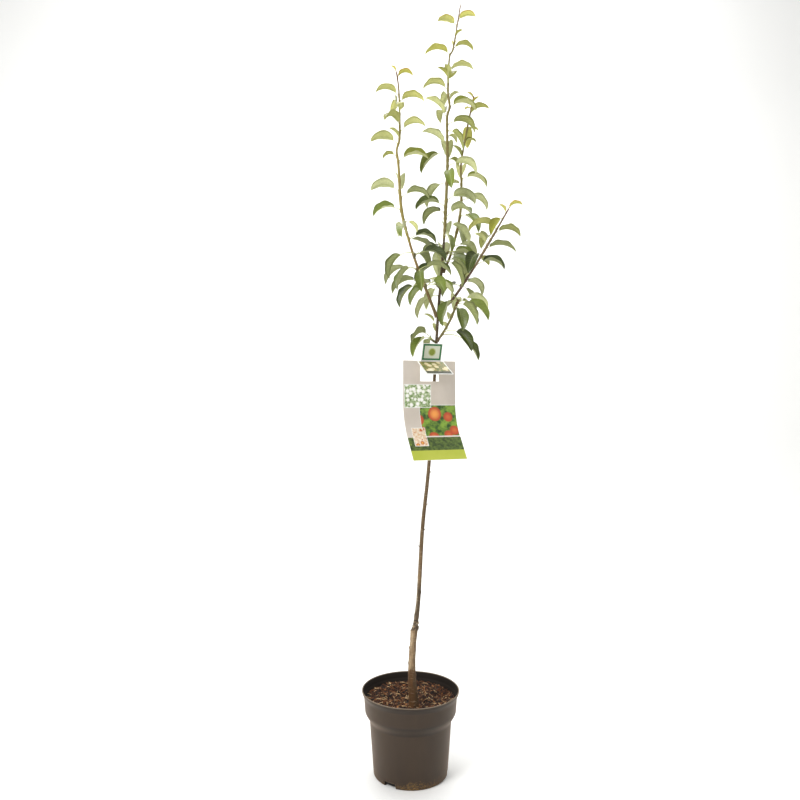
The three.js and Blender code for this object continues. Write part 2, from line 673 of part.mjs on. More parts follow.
function addPart(name, solid, finish) {
  const mesh = new THREE.Mesh(geometryOf(solid), finish.clone());
  mesh.name = name;
  group.add(mesh);
}

addPart('pot', buildPot(), FINISH.pot);
addPart('soil', buildSoil(), FINISH.soil);

// The limbs, each with a wider copy that cuts the gap in whatever joins it
const limbs = new Map();
const space = new GrownSpace();

function addLimb(name, route, lengths, radiusAt, sides, cutter) {
  const whole = solidOf(limbGeometry(route, lengths, radiusAt, sides));
  const solid = largest(whole.subtract(cutter));
  const widerRadius = (length, height) => radiusAt(length, height) + FIT_GAP;
  const clearance = solidOf(limbGeometry(route, lengths, widerRadius, sides));
  limbs.set(name, { route, clearance });
  space.addLimb(name, route, lengths[0], lengths.at(-1), radiusAt);
  addPart(name, solid, FINISH.bark);
}

const trunkRoute = new Route(MAIN_ROUTE);
const ground = new THREE.BoxGeometry(POT.rim, POT.rim, SOIL.height);
ground.translate(0, 0, SOIL.height / 2 + FIT_GAP);
const radiusAtHeight = (_, height) => trunkRadius(height);
addLimb('trunk', trunkRoute, trunkLengths(trunkRoute), radiusAtHeight, TRUNK_SIDES, solidOf(ground));
for (const bough of BOUGHS) {
  const route = new Route(bough.route);
  const radiusAt = (length) => THREE.MathUtils.mapLinear(length, 0, bough.end, bough.foot, bough.tip);
  const lengths = evenLengths(0, bough.end, BOUGH_STEP);
  addLimb(bough.name, route, lengths, radiusAt, BOUGH_SIDES, limbs.get('trunk').clearance);
}

const frame = labelFrame(trunkRoute);
addPart('label', buildLabel(frame), FINISH.label);
addPart('label_strap', buildStrap(frame), FINISH.strap);
space.addSheet(labelPoints(frame));

// All stems come first, so that the leaves of one mass keep clear of the stems of the others
const masses = [...SHOOTS, ...SPURS].map((plan) => ({ plan, stem: stemOf(plan, limbs) }));
for (const { plan, stem } of masses) {
  space.addLimb(plan.name, stem.route, stem.start, stem.end, stem.radiusAt);
}
for (const { plan, stem } of masses) {
  addPart(plan.name, growMass(plan, stem, space), FINISH.leaf);
}

export default group;
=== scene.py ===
"""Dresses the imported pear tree: bark, twigs, leaves, compost, pot and hang label.

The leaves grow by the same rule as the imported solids, in millimetres, and every mesh is in metres. +Z is up,
+X is to the right and -Y is the front.
"""
import logging
import math
import sys
from dataclasses import dataclass
from enum import Enum
from typing import Callable, Iterable, NamedTuple, Sequence

import bpy
import numpy as np
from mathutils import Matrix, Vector, noise


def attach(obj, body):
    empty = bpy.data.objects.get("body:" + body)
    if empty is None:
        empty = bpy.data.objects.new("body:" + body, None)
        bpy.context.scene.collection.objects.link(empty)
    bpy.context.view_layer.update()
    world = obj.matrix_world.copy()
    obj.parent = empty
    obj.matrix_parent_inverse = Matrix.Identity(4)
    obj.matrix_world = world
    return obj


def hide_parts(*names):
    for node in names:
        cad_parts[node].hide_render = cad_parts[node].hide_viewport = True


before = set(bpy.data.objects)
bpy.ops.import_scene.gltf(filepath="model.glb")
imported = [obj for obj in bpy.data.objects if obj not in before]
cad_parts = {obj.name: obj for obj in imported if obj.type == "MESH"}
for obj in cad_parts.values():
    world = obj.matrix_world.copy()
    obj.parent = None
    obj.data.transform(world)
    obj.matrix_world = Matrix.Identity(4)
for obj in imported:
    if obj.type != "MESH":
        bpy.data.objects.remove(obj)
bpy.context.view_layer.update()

log = logging.getLogger("pear_tree")

MM = 0.001
FIT_GAP = 0.3
FULL_TURN = 6.283
COMPASS = {
    "E": 0, "NE": 45, "N": 90, "NW": 135, "W": 180, "SW": 225, "SSW": 247.5, "S": 270, "SSE": 292.5,
    "SE": 315,
}
FLAT_MAP = "UVMap"
Point = Sequence[float]
Colour = tuple[float, float, float, float]
Array = np.ndarray
Faces = list[tuple[int, ...]]
Piece = bpy.types.Object
Material = bpy.types.Material
NodeTree = bpy.types.NodeTree
Socket = bpy.types.NodeSocket
UP = np.array([0.0, 0.0, 1.0])


def linear(code: str) -> Colour:
    """Turns a screen colour, six hexadecimal digits, into the linear one that shaders take."""
    parts = [int(code[i:i + 2], 16) / 255 for i in (0, 2, 4)]
    return (*(p / 12.92 if p <= 0.04045 else ((p + 0.055) / 1.055) ** 2.4 for p in parts), 1.0)


def unit(vector: Array) -> Array:
    """Returns the vector with a length of 1."""
    return vector / np.linalg.norm(vector)


def blend(low: float, high: float, value: float) -> float:
    """Returns a smooth step from 0 at low to 1 at high."""
    share = min(1.0, max(0.0, (value - low) / (high - low)))
    return share * share * (3 - 2 * share)


def hill(value: float | Array, middle: float, width: float) -> float | Array:
    """Returns a smooth hill of 1 at the middle that falls off on both sides."""
    return np.exp(-(((value - middle) / width) ** 2))


def aim(turn: float, rise: float) -> Array:
    """Returns the direction at a turn and a rise in radians."""
    return np.array([math.cos(rise) * math.cos(turn), math.cos(rise) * math.sin(turn), math.sin(rise)])


def add_object(name: str, data: bpy.types.ID) -> Piece:
    """Adds an object with its data to the scene.

    Args:
        name: Its name.
        data: Its mesh, camera or light.

    Returns:
        The object.
    """
    item = bpy.data.objects.new(name, data)
    bpy.context.scene.collection.objects.link(item)
    return item


def evaluated_mesh(piece: Piece) -> bpy.types.Mesh:
    """Returns a new mesh of the piece with its modifiers applied."""
    return bpy.data.meshes.new_from_object(piece.evaluated_get(bpy.context.evaluated_depsgraph_get()))


# The growing rule, in millimetres


class SeededRandom:
    """Random numbers that are the same in every run."""

    def __init__(self, seed: int) -> None:
        """Starts the row of numbers from a seed."""
        self.state = seed

    def next(self) -> float:
        """Returns the next number between 0 and 1."""
        self.state = (self.state * 48271) % 2147483647
        return self.state / 2147483647

    def vary(self, amount: float) -> float:
        """Returns a number between minus the amount and the amount."""
        return (self.next() * 2 - 1) * amount


class Route:
    """A centre line through turning points, with its samples spaced by their length along it."""

    SAMPLES = 400
    REACH = 2.0

    def __init__(self, points: Sequence[Point]) -> None:
        """Samples a smooth curve through the points.

        Args:
            points: The turning points.
        """
        fixed = [np.array(p, float) for p in points]
        self.samples = np.array([self._curve(fixed, i / self.SAMPLES) for i in range(self.SAMPLES + 1)])
        steps = np.linalg.norm(np.diff(self.samples, axis=0), axis=1)
        self.lengths = np.concatenate([[0.0], np.cumsum(steps)])
        self.length = float(self.lengths[-1])

    @staticmethod
    def _curve(points: list[Array], share: float) -> Array:
        """Returns a point of the curve at a share of its turning points.

        Args:
            points: The turning points.
            share: The place along them, from 0 to 1.

        Returns:
            The point.
        """
        place = (len(points) - 1) * share
        first = min(int(place), len(points) - 2)
        weight = place - first
        p1, p2 = points[first], points[first + 1]
        p0 = points[first - 1] if first > 0 else 2 * p1 - p2
        p3 = points[first + 2] if first + 2 < len(points) else 2 * p2 - p1
        t0, t1 = (p2 - p0) / 2, (p3 - p1) / 2
        cubic = 2 * p1 - 2 * p2 + t0 + t1
        square = -3 * p1 + 3 * p2 - 2 * t0 - t1
        return p1 + t0 * weight + square * weight**2 + cubic * weight**3

    def at(self, length: float) -> Array:
        """Returns the point at a length along the line.

        Args:
            length: The length.

        Returns:
            The point.
        """
        i = int(min(max(np.searchsorted(self.lengths, length), 1), self.SAMPLES))
        share = (length - self.lengths[i - 1]) / (self.lengths[i] - self.lengths[i - 1])
        return self.samples[i - 1] + (self.samples[i] - self.samples[i - 1]) * share

    def direction(self, length: float) -> Array:
        """Returns the line's direction at a length along it."""
        ahead = self.at(min(length + self.REACH, self.length))
        return unit(ahead - self.at(max(length - self.REACH, 0)))

    def length_at_height(self, height: float) -> float:
        """Returns the length along the line at which it first reaches a height."""
        return float(self.lengths[int(np.argmax(self.samples[:, 2] >= height))])


MAIN_ROUTE = (
    (7, -28, 140), (2.2, -27, 221), (7.1, -22, 295), (15.7, -14, 357), (24.6, -2, 502), (37.7, 0, 630),
    (49.4, 0, 812), (57, 0, 946), (68.8, 0, 1094), (75.8, 0, 1243), (75.1, -2, 1342), (80.3, -3, 1369),
    (77, -4, 1401), (79.7, -6, 1468), (87.9, -7, 1490), (102.4, -8, 1576),
)
LEFT_ROUTE = (
    (54.2, 0, 937), (20, -20, 1020), (-1.5, -30, 1081), (-18.7, -36, 1149), (-24.7, -40, 1236),
    (-28.3, -40, 1267), (-22.3, -42, 1295), (-23.7, -45, 1379), (-28.7, -46, 1422),
)
BACK_ROUTE = (
    (67.6, 0, 1030), (86.2, 24, 1076), (105.6, 44, 1158), (109.6, 54, 1225), (108.9, 58, 1269),
    (122.3, 64, 1348), (137.5, 66, 1421),
)
RIGHT_ROUTE = ((59.7, 0, 958), (80.8, -8, 966), (119.3, -22, 1020), (159.4, -36, 1086), (195.5, -48, 1148))
LOW_ROUTE = ((55, 0, 887), (66.5, -4, 904), (81.2, -16, 930), (95.2, -30, 966))


@dataclass(frozen=True)
class Pose:
    """How a leaf hangs, in degrees: its stalk's rise and drop, its midrib's bend, and its lift at the top."""

    rise: float
    drop: float
    bend: float
    lift: float = 0


class LeafPose(Enum):
    """The poses that a word of a plan can ask for."""

    SHOOT = Pose(34, 18, 84, 32)
    SPUR = Pose(30, 26, 76)
    HANGING = Pose(20, 55, 42)
    UPRIGHT = Pose(66, 4, 44)


@dataclass(frozen=True)
class Leaf:
    """One leaf: its angles in degrees, its lengths, and its place between its shoot's foot and tip."""

    turn: float
    rise: float
    drop: float
    bend: float
    roll: float
    fold: float
    swerve: float
    length: float
    stalk: float
    young: bool
    share: float


@dataclass(frozen=True)
class Station:
    """A place on a leaf's line: its point, the directions across and above it, and the blade's half width."""

    point: Array
    across: Array
    above: Array
    half_width: float


class GrownLeaf(NamedTuple):
    """A leaf that has found its place, with its stations from root to tip."""

    leaf: Leaf
    spine: tuple[Station, ...]


@dataclass(frozen=True)
class LeafRule:
    """How a leaf's sizes and line follow from its word in a plan.

    A spread is how far a value varies both ways. The blade's shape is a scale and the powers of its ends.
    """

    length: float = 54
    shorter: float = 25
    spur_length: float = 56
    width_share: float = 0.55
    small: float = 0.5
    stalk: float = 22
    stalk_shorter: float = 16
    spur_stalk: float = 25
    longer_stalk: float = 1.7
    roll: float = 34
    fold: float = 42
    stalk_steps: int = 6
    blade_steps: int = 20
    size_spread: float = 0.08
    turn_spread: float = 14
    rise_spread: float = 9
    bend_spread: float = 15
    roll_spread: float = 11
    fold_spread: float = 8
    swerve_spread: float = 16
    stalk_spread: float = 0.25
    blade_shape: Point = (2.674, 0.6, 0.85)

    def draw(self, word: str, share: float, spur: bool, random: SeededRandom) -> Leaf:
        """Draws one leaf with its own small differences.

        Args:
            word: The plan's word: a compass direction and marks.
            share: The place between the shoot's foot and its tip.
            spur: Whether the leaf stands on a spur.
            random: The shoot's own random numbers.

        Returns:
            The leaf.
        """
        letters = word.rstrip("+-v^_")
        marks = word[len(letters):]
        young = letters.islower()
        pose = (LeafPose.SPUR if spur else LeafPose.SHOOT).value
        if "v" in marks:
            pose = LeafPose.HANGING.value
        elif "^" in marks:
            pose = LeafPose.UPRIGHT.value
        scale = (self.small if young else 1) * (1 + random.vary(self.size_spread))
        planned = COMPASS[letters.upper()]
        turn = planned + random.vary(self.turn_spread)
        rise = pose.rise + pose.lift * share**2 + random.vary(self.rise_spread)
        bend = pose.bend + random.vary(self.bend_spread)
        facing = ("+" in marks) - ("-" in marks)
        sideways = 1 if 90 < planned < 270 else -1
        roll = sideways * facing * self.roll + random.vary(self.roll_spread)
        fold = self.fold + random.vary(self.fold_spread)
        swerve = random.vary(self.swerve_spread)
        full_length = self.spur_length if spur else self.length - self.shorter * share**5
        full_stalk = self.spur_stalk if spur else self.stalk - self.stalk_shorter * share
        stalk_scale = (self.small if young else 1) * (self.longer_stalk if "_" in marks else 1)
        stalk = full_stalk * stalk_scale * (1 + random.vary(self.stalk_spread))
        return Leaf(turn, rise, pose.drop, bend, roll, fold, swerve, full_length * scale, stalk, young, share)

    def blade_width(self, share: float) -> float:
        """Returns the blade's width at a share of its length, as a share of its widest."""
        scale, foot, tip = self.blade_shape
        return scale * share**foot * (1 - share) ** tip

    def spine(self, root: Array, leaf: Leaf, extra_turn: float) -> tuple[Station, ...]:
        """Follows the stalk and the midrib from the root.

        Args:
            root: The point on the stem.
            leaf: The leaf.
            extra_turn: Degrees that the leaf is turned to find room.

        Returns:
            The stations from the root to the tip.
        """
        stations = []
        point = root.copy()
        roll = math.radians(leaf.roll)
        for step in range(self.stalk_steps + self.blade_steps + 1):
            share = max(0, step - self.stalk_steps) / self.blade_steps
            dropped = min(step, self.stalk_steps) / self.stalk_steps
            elevation = math.radians(leaf.rise - leaf.drop * dropped - leaf.bend * share)
            heading = math.radians(leaf.turn + extra_turn + leaf.swerve * share)
            tangent = aim(heading, elevation)
            level = np.array([-math.sin(heading), math.cos(heading), 0.0])
            upright = np.cross(tangent, level)
            across = level * math.cos(roll) - upright * math.sin(roll)
            above = upright * math.cos(roll) + level * math.sin(roll)
            half_width = 0.5 * self.width_share * leaf.length * self.blade_width(share)
            stations.append(Station(point.copy(), across, above, half_width))
            on_stalk = step < self.stalk_steps
            point += tangent * (leaf.stalk / self.stalk_steps if on_stalk else leaf.length / self.blade_steps)
        return tuple(stations)

    @staticmethod
    def blade_point(station: Station, leaf: Leaf, column: float) -> Array:
        """Returns a point of the blade: columns -1 and 1 are its raised margins, and 0 is the midrib.

        Args:
            station: The station.
            leaf: The leaf.
            column: The column.

        Returns:
            The point.
        """
        fold = math.radians(leaf.fold)
        return (station.point + station.across * (math.cos(fold) * station.half_width * column)
                + station.above * (math.sin(fold) * station.half_width * abs(column)))


class GrownSpace:
    """What has grown so far, as points that later leaves keep clear of."""

    OTHER_LEAVES = 6.8
    OWN_LEAVES = 4.5
    LIMBS = 3.0
    OWN_STEM = 0.5
    STALK_FROM_LIMBS = 1.2
    POINT_STEP = 5.0
    SAMPLE_STEPS = (1, 2, 4, 6, 8, 11, 14, 17, 20, 23, 26)
    COLUMNS = (-1, -0.5, 0, 0.5, 1)

    def __init__(self, rule: LeafRule) -> None:
        """Starts with nothing grown."""
        self.rule = rule
        self.grown: list[tuple[str, Array, Point]] = []

    def add_limb(self, owner: str, route: Route, ends: tuple[float, float],
                 radius_at: Callable[[float, float], float]) -> None:
        """Adds the points of a limb.

        Args:
            owner: The limb's name.
            route: Its centre line.
            ends: The lengths along it at which the limb starts and ends.
            radius_at: Gives its radius at a length and a height.
        """
        for length in even_lengths(*ends, self.POINT_STEP):
            point = route.at(length)
            radius = radius_at(length, point[2])
            clear = tuple(radius + gap for gap in (self.OWN_STEM, self.STALK_FROM_LIMBS, self.LIMBS))
            self.grown.append((owner, point, clear))

    def add_sheet(self, owner: str, points: Iterable[Array]) -> None:
        """Adds the points of a leaf or the label."""
        clear = (self.OWN_LEAVES, self.OTHER_LEAVES, self.OTHER_LEAVES)
        self.grown.extend((owner, point, clear) for point in points)

    def samples(self, spine: tuple[Station, ...], leaf: Leaf) -> tuple[Array, Array]:
        """Returns sample points over a leaf, and which of them lie on its stalk.

        Args:
            spine: The leaf's stations.
            leaf: The leaf.

        Returns:
            The points and a yes or no for each.
        """
        points, on_stalk = [], []
        for step in self.SAMPLE_STEPS:
            stalk = step <= self.rule.stalk_steps
            for column in (0,) if stalk else self.COLUMNS:
                points.append(self.rule.blade_point(spine[step], leaf, column))
                on_stalk.append(stalk)
        return np.array(points), np.array(on_stalk)

    def accepts(self, owner: str, points: Array, on_stalk: Array) -> bool:
        """Tells whether a leaf has room beside everything that has grown.

        Args:
            owner: The leaf's mass, whose own stem its stalk may touch.
            points: The leaf's sample points.
            on_stalk: Which of them lie on its stalk.

        Returns:
            Whether every point keeps its distance.
        """
        names, places, clearances = zip(*self.grown)
        own = np.array(names) == owner
        stalk = on_stalk[:, None]
        own_clear, stalk_clear, other_clear = np.array(clearances).T
        clear = np.where(own, own_clear, np.where(stalk, stalk_clear, other_clear))
        distance = np.linalg.norm(points[:, None] - np.array(places), axis=2)
        return bool(((own & stalk) | (distance > clear)).all())


def even_lengths(start: float, end: float, step: float) -> list[float]:
    """Returns lengths from start to end in even steps of about the step, at least two of them."""
    count = max(2, math.floor((end - start) / step + 0.5))
    return [start + (end - start) * i / count for i in range(count + 1)]


def between(value: float, low: float, high: float, at_low: float, at_high: float) -> float:
    """Maps a value between low and high in a straight line to one between at_low and at_high."""
    return at_low + (value - low) / (high - low) * (at_high - at_low)


@dataclass(frozen=True)
class BoughPlan:
    """A bough: it leaves the trunk and ends where its shoot takes over, at a length along its route."""

    name: str
    route: tuple[Point, ...]
    end: float
    foot: float
    tip: float


@dataclass(frozen=True)
class MassPlan:
    """A leafy shoot on a route, or a spur on a limb, with its seed and one word for each place."""

    name: str
    seed: int
    words: str
    route: tuple[Point, ...] = ()
    start: float = 0
    start_height: float = 0
    foot: float = 2.4
    tip: float = 1.7
    cell: float = 12
    long_stalks: bool = False
    carrier: str = ""
    at: float = 0
    towards: str = "E"


BOUGHS = (
    BoughPlan("left_bough", LEFT_ROUTE, 160, 3.4, 2.5),
    BoughPlan("back_bough", BACK_ROUTE, 60, 3, 2.4),
    BoughPlan("right_bough", RIGHT_ROUTE, 107, 3.2, 2.3),
    BoughPlan("low_bough", LOW_ROUTE, 12, 2.4, 2.2),
)
SHOOTS = (
    MassPlan("leader_shoot", 11,
             "Sv- N NEv SE NW W+ E- . . NWv . Sv+ E- e Wv+ W^ N ne SEv- E "
             "W^ W+ E+ e^ N W S- w^ E n . W E n e^ . W- E-",
             route=MAIN_ROUTE, start_height=1094, foot=2.45, tip=0.8),
    MassPlan("left_shoot", 23, "E+ S+ N ev- . W+ . E W- . N . . E+ w . W- w^ E SW . S- N E W . . E w^",
             route=LEFT_ROUTE, start=160, foot=2.4, tip=0.9),
    MassPlan("back_shoot", 37, "NE . . N . . Sv+ . . E ne . w E+ . N . w^ . . e+ . e Nv . E n e^ w^",
             route=BACK_ROUTE, start=60, foot=2.3, tip=0.9),
    MassPlan("right_shoot", 41, "E+ e- SWv+ E w^- N E W . SWv+ w^ E",
             route=RIGHT_ROUTE, start=107, foot=2.2, tip=0.9),
    MassPlan("low_shoot", 55, "Ev+_ SEv+_ . . . . . . . n . . . Sv SSEv- SEv+ E N+ e+ NW^ SWv",
             route=LOW_ROUTE, start=12, foot=2.2, tip=1.5, cell=5, long_stalks=True),
)
SPURS = (
    MassPlan("left_spur_high", 61, "E+ N Wv-", carrier="left_bough", at=128, towards="S"),
    MassPlan("left_spur_low", 67, "Sv+ E SWv- W", carrier="left_bough", at=96, towards="SW"),
    MassPlan("left_spur_foot", 107, "E+ Wv+ NW", carrier="left_bough", at=62, towards="S"),
    MassPlan("right_spur", 71, "NW Ev+ e^ NE", carrier="right_bough", at=62, towards="N"),
    MassPlan("crown_spur_front", 73, "SSWv+ E+ NW^ SEv-", carrier="trunk", at=1036, towards="S"),
    MassPlan("crown_spur_right", 79, "E+ SSEv- Ev- NE", carrier="trunk", at=1060, towards="E"),
    MassPlan("crown_spur_back", 83, "NW Nv W NE", carrier="trunk", at=1074, towards="NW"),
    MassPlan("middle_spur_left", 89, "Nv Wv+ SW SWv-", carrier="trunk", at=994, towards="SW"),
    MassPlan("middle_spur_right", 97, "NEv+ N NWv", carrier="trunk", at=972, towards="N"),
    MassPlan("collar_spur_left", 103, "SW- N- SWv", carrier="trunk", at=884, towards="W"),
    MassPlan("collar_spur_right", 103, "n w^ ne", carrier="trunk", at=912, towards="N"),
)


@dataclass(frozen=True)
class Stem:
    """A shoot's or spur's stem: its route, its two ends along it, and its radii there."""

    route: Route
    start: float
    end: float
    foot: float
    tip: float

    def radius_at(self, length: float, _height: float = 0) -> float:
        """Returns the radius at a length along the route."""
        return between(length, self.start, self.end, self.foot, self.tip)


@dataclass(frozen=True)
class TrunkShape:
    """The trunk's sizes: a thick rootstock with a slimmer stem grafted on it."""

    ground: float = 148
    top: float = 1094
    stock: tuple[float, float] = (9.2, 5.9)
    stem: tuple[float, float] = (4.5, 2.5)
    graft: float = 303
    graft_blend: float = 13
    bulge: float = 1.5
    bulge_height: float = 310
    bulge_span: float = 22
    flare: float = 1.6
    flare_fade: float = 14

    def radius_at(self, height: float) -> float:
        """Returns the radius at a height.

        Args:
            height: The height.

        Returns:
            The radius.
        """
        stock = between(height, self.ground, self.graft, *self.stock)
        stem = between(height, self.graft, self.top, *self.stem)
        share = blend(self.graft - self.graft_blend, self.graft + self.graft_blend, height)
        bulge = self.bulge * math.exp(-(((height - self.bulge_height) / self.bulge_span) ** 2))
        flare = self.flare * math.exp(-(height - self.ground) / self.flare_fade)
        return stock + (stem - stock) * share + bulge + flare


class Growth:
    """Grows the whole crown: every stem first, then the leaves of one mass after another."""

    TURNS_TO_TRY = (0, 22, -22, 44, -44, 66, -66, 88, -88)
    TIP_MARGIN = 1.0
    SPUR_LENGTH = 14.0
    SPUR_RISE = 35.0
    SPUR_SAG = 1.0
    SPUR_CELL = 3.0

    def __init__(self, trunk: TrunkShape, rule: LeafRule, label_points: Iterable[Array]) -> None:
        """Grows everything.

        Args:
            trunk: The trunk's sizes.
            rule: The rule for leaves.
            label_points: Points over the label, for leaves to keep clear of.
        """
        self.rule = rule
        self.space = GrownSpace(rule)
        main_route = Route(MAIN_ROUTE)
        self.routes = {"trunk": main_route}
        top = main_route.length_at_height(trunk.top)
        self.space.add_limb("trunk", main_route, (0, top), lambda _, height: trunk.radius_at(height))
        for plan in BOUGHS:
            route = Route(plan.route)
            self.routes[plan.name] = route
            self.space.add_limb(plan.name, route, (0, plan.end),
                                lambda length, _, p=plan: between(length, 0, p.end, p.foot, p.tip))
        self.space.add_sheet("label", label_points)
        self.stems = {plan.name: self._stem(plan) for plan in SHOOTS + SPURS}
        for name, stem in self.stems.items():
            self.space.add_limb(name, stem.route, (stem.start, stem.end), stem.radius_at)
        self.leaves = {plan.name: self._leaves(plan) for plan in SHOOTS + SPURS}

    def _stem(self, plan: MassPlan) -> Stem:
        """Lays out the stem of a shoot or a spur.

        Args:
            plan: The mass.

        Returns:
            The stem.
        """
        if plan.route:
            route = Route(plan.route)
            start = route.length_at_height(plan.start_height) if plan.start_height else plan.start
            return Stem(route, start + FIT_GAP, route.length, plan.foot, plan.tip)
        carrier = self.routes[plan.carrier]
        along = carrier.length_at_height(plan.at) if plan.carrier == "trunk" else plan.at
        foot = carrier.at(along)
        turn, rise = math.radians(COMPASS[plan.towards]), math.radians(self.SPUR_RISE)
        tip = foot + aim(turn, rise) * self.SPUR_LENGTH
        middle = (foot + tip) / 2 - UP * self.SPUR_SAG
        route = Route([foot, middle, tip])
        return Stem(route, 0, route.length, plan.foot, plan.tip)

    def _leaves(self, plan: MassPlan) -> list[GrownLeaf]:
        """Grows the leaves of one mass. A leaf that finds no room is skipped.

        Args:
            plan: The mass.

        Returns:
            The leaves that found room.
        """
        random = SeededRandom(plan.seed)
        stem = self.stems[plan.name]
        words = plan.words.split(" ")
        on_spur = not plan.route
        cell = self.SPUR_CELL if on_spur else plan.cell
        first = stem.end - cell * (len(words) - 1) - self.TIP_MARGIN if on_spur else stem.start + cell / 2
        long_stalks = on_spur or plan.long_stalks
        grown = []
        for spot, word in enumerate(words):
            if word == ".":
                continue
            length = min(first + cell * spot, stem.end - self.TIP_MARGIN)
            share = 0 if long_stalks else (length - stem.start) / (stem.end - stem.start)
            leaf = self.rule.draw(word, share, long_stalks, random)
            root = stem.route.at(length)
            for extra_turn in self.TURNS_TO_TRY:
                spine = self.rule.spine(root, leaf, extra_turn)
                points, on_stalk = self.space.samples(spine, leaf)
                if self.space.accepts(plan.name, points, on_stalk):
                    self.space.add_sheet(plan.name, points)
                    grown.append(GrownLeaf(leaf, spine))
                    break
        return grown


# Meshes and node trees


class MeshDraft:
    """Collects the vertices and faces of one piece, in millimetres, with its attributes."""

    def __init__(self, name: str) -> None:
        """Starts an empty piece.

        Args:
            name: Its name.
        """
        self.name = name
        self.vertices: list[Array] = []
        self.faces: Faces = []
        self.slots: list[int] = []
        self.uvs: list[Array] = []
        self.attributes: dict[str, Array] = {}
        self.count = 0

    def add(self, vertices: Array, faces: Faces, slot: int | Sequence[int] = 0,
            uv: Array | None = None, **attributes: float | Array) -> None:
        """Adds a shape.

        Args:
            vertices: Its points in millimetres.
            faces: Its faces, as places in its own points.
            slot: The material slot of all its faces, or one for each.
            uv: A flat place for each point.
            attributes: Named values, one for all the points or one for each.
        """
        new_faces = [tuple(index + self.count for index in face) for face in faces]
        size = len(vertices)
        self.vertices.append(vertices)
        self.faces.extend(new_faces)
        self.slots.extend([slot] * len(new_faces) if isinstance(slot, int) else slot)
        self.uvs.append(np.zeros((size, 2)) if uv is None else uv)
        self.count += size
        for name in {**self.attributes, **attributes}:
            earlier = self.attributes.get(name, np.zeros(self.count - size))
            value = np.broadcast_to(np.asarray(attributes.get(name, 0.0), float), (size,))
            self.attributes[name] = np.concatenate([earlier, value])

    def build(self, materials: Sequence[Material], smooth: bool = True) -> Piece:
        """Makes the object.

        Args:
            materials: The materials of its slots.
            smooth: Whether its faces are shaded smooth.

        Returns:
            The object, at the origin.
        """
        mesh = bpy.data.meshes.new(self.name)
        mesh.from_pydata((np.concatenate(self.vertices) * MM).tolist(), [], self.faces)
        mesh.polygons.foreach_set("material_index", self.slots)
        mesh.polygons.foreach_set("use_smooth", [smooth] * len(self.faces))
        places = np.empty(len(mesh.loops), np.int32)
        mesh.loops.foreach_get("vertex_index", places)
        layer = mesh.uv_layers.new(name=FLAT_MAP)
        layer.data.foreach_set("uv", np.concatenate(self.uvs)[places].ravel())
        for name, values in self.attributes.items():
            mesh.attributes.new(name, "FLOAT", "POINT").data.foreach_set("value", values)
        for material in materials:
            mesh.materials.append(material)
        mesh.update()
        return add_object(self.name, mesh)


def grid_faces(rows: int, columns: int, closed: bool) -> Faces:
    """Returns the faces of a grid of points, row after row.

    Args:
        rows: The number of rows.
        columns: The number of points in a row.
        closed: Whether the last column joins the first.

    Returns:
        Four-sided faces.
    """
    last = columns if closed else columns - 1
    return [(r * columns + c, r * columns + (c + 1) % columns, (r + 1) * columns + (c + 1) % columns,
             (r + 1) * columns + c) for r in range(rows - 1) for c in range(last)]


def neighbours(sides: int) -> list[tuple[int, int]]:
    """Returns each place of a ring with the next one round it."""
    return [(spot, (spot + 1) % sides) for spot in range(sides)]


def ring_points(profile: Iterable[Point], sides: int) -> list[Point]:
    """Returns a ring of points round the axis for each radius and height of a profile."""
    circle = [(math.cos(turn), math.sin(turn)) for turn in np.arange(sides) / sides * math.tau]
    return [(radius * x, radius * y, level) for radius, level in profile for x, y in circle]


def fan_faces(first: int, sides: int, centre: int) -> Faces:
    """Returns the faces between a ring, given by its first point, and the point at its centre."""
    return [(first + spot, first + after, centre) for spot, after in neighbours(sides)]


def add_tube(draft: MeshDraft, centres: Sequence[Array], radii: Sequence[float], sides: int, slot: int = 0,
             relief: Callable[[Array, Array, float], float] | None = None,
             **attributes: float | Array) -> None:
    """Adds a closed tube along a line.

    Args:
        draft: The piece.
        centres: The points of the line.
        radii: The radius at each point.
        sides: The number of sides.
        slot: The material slot.
        relief: Gives how far the surface stands out at a point, in a direction out of a centre, at a radius.
        attributes: Named values, one for all or one for each centre.
    """
    points = np.array(centres)
    tangents = np.gradient(points, axis=0)
    tangents /= np.linalg.norm(tangents, axis=1)[:, None]
    across = np.cross(np.array([0.0, 1.0, 0.0]), tangents[0])
    if np.linalg.norm(across) < 0.3:
        across = np.cross(np.array([1.0, 0.0, 0.0]), tangents[0])
    rings = []
    turns = np.arange(sides) / sides * math.tau
    for centre, tangent, radius in zip(points, tangents, radii):
        across = unit(across - tangent * np.dot(across, tangent))
        beside = np.cross(tangent, across)
        ring = np.outer(np.cos(turns), across) + np.outer(np.sin(turns), beside)
        bumps = 0 if relief is None else np.array([[relief(centre, spoke, radius)] for spoke in ring])
        rings.append(centre + ring * (radius + bumps))
    count = len(points)
    faces = grid_faces(count, sides, True)
    faces.append(tuple(reversed(range(sides))))
    faces.append(tuple(range((count - 1) * sides, count * sides)))
    spread = {name: np.repeat(np.broadcast_to(np.asarray(value, float), (count,)), sides)
              for name, value in attributes.items()}
    draft.add(np.concatenate(rings), faces, slot, **spread)


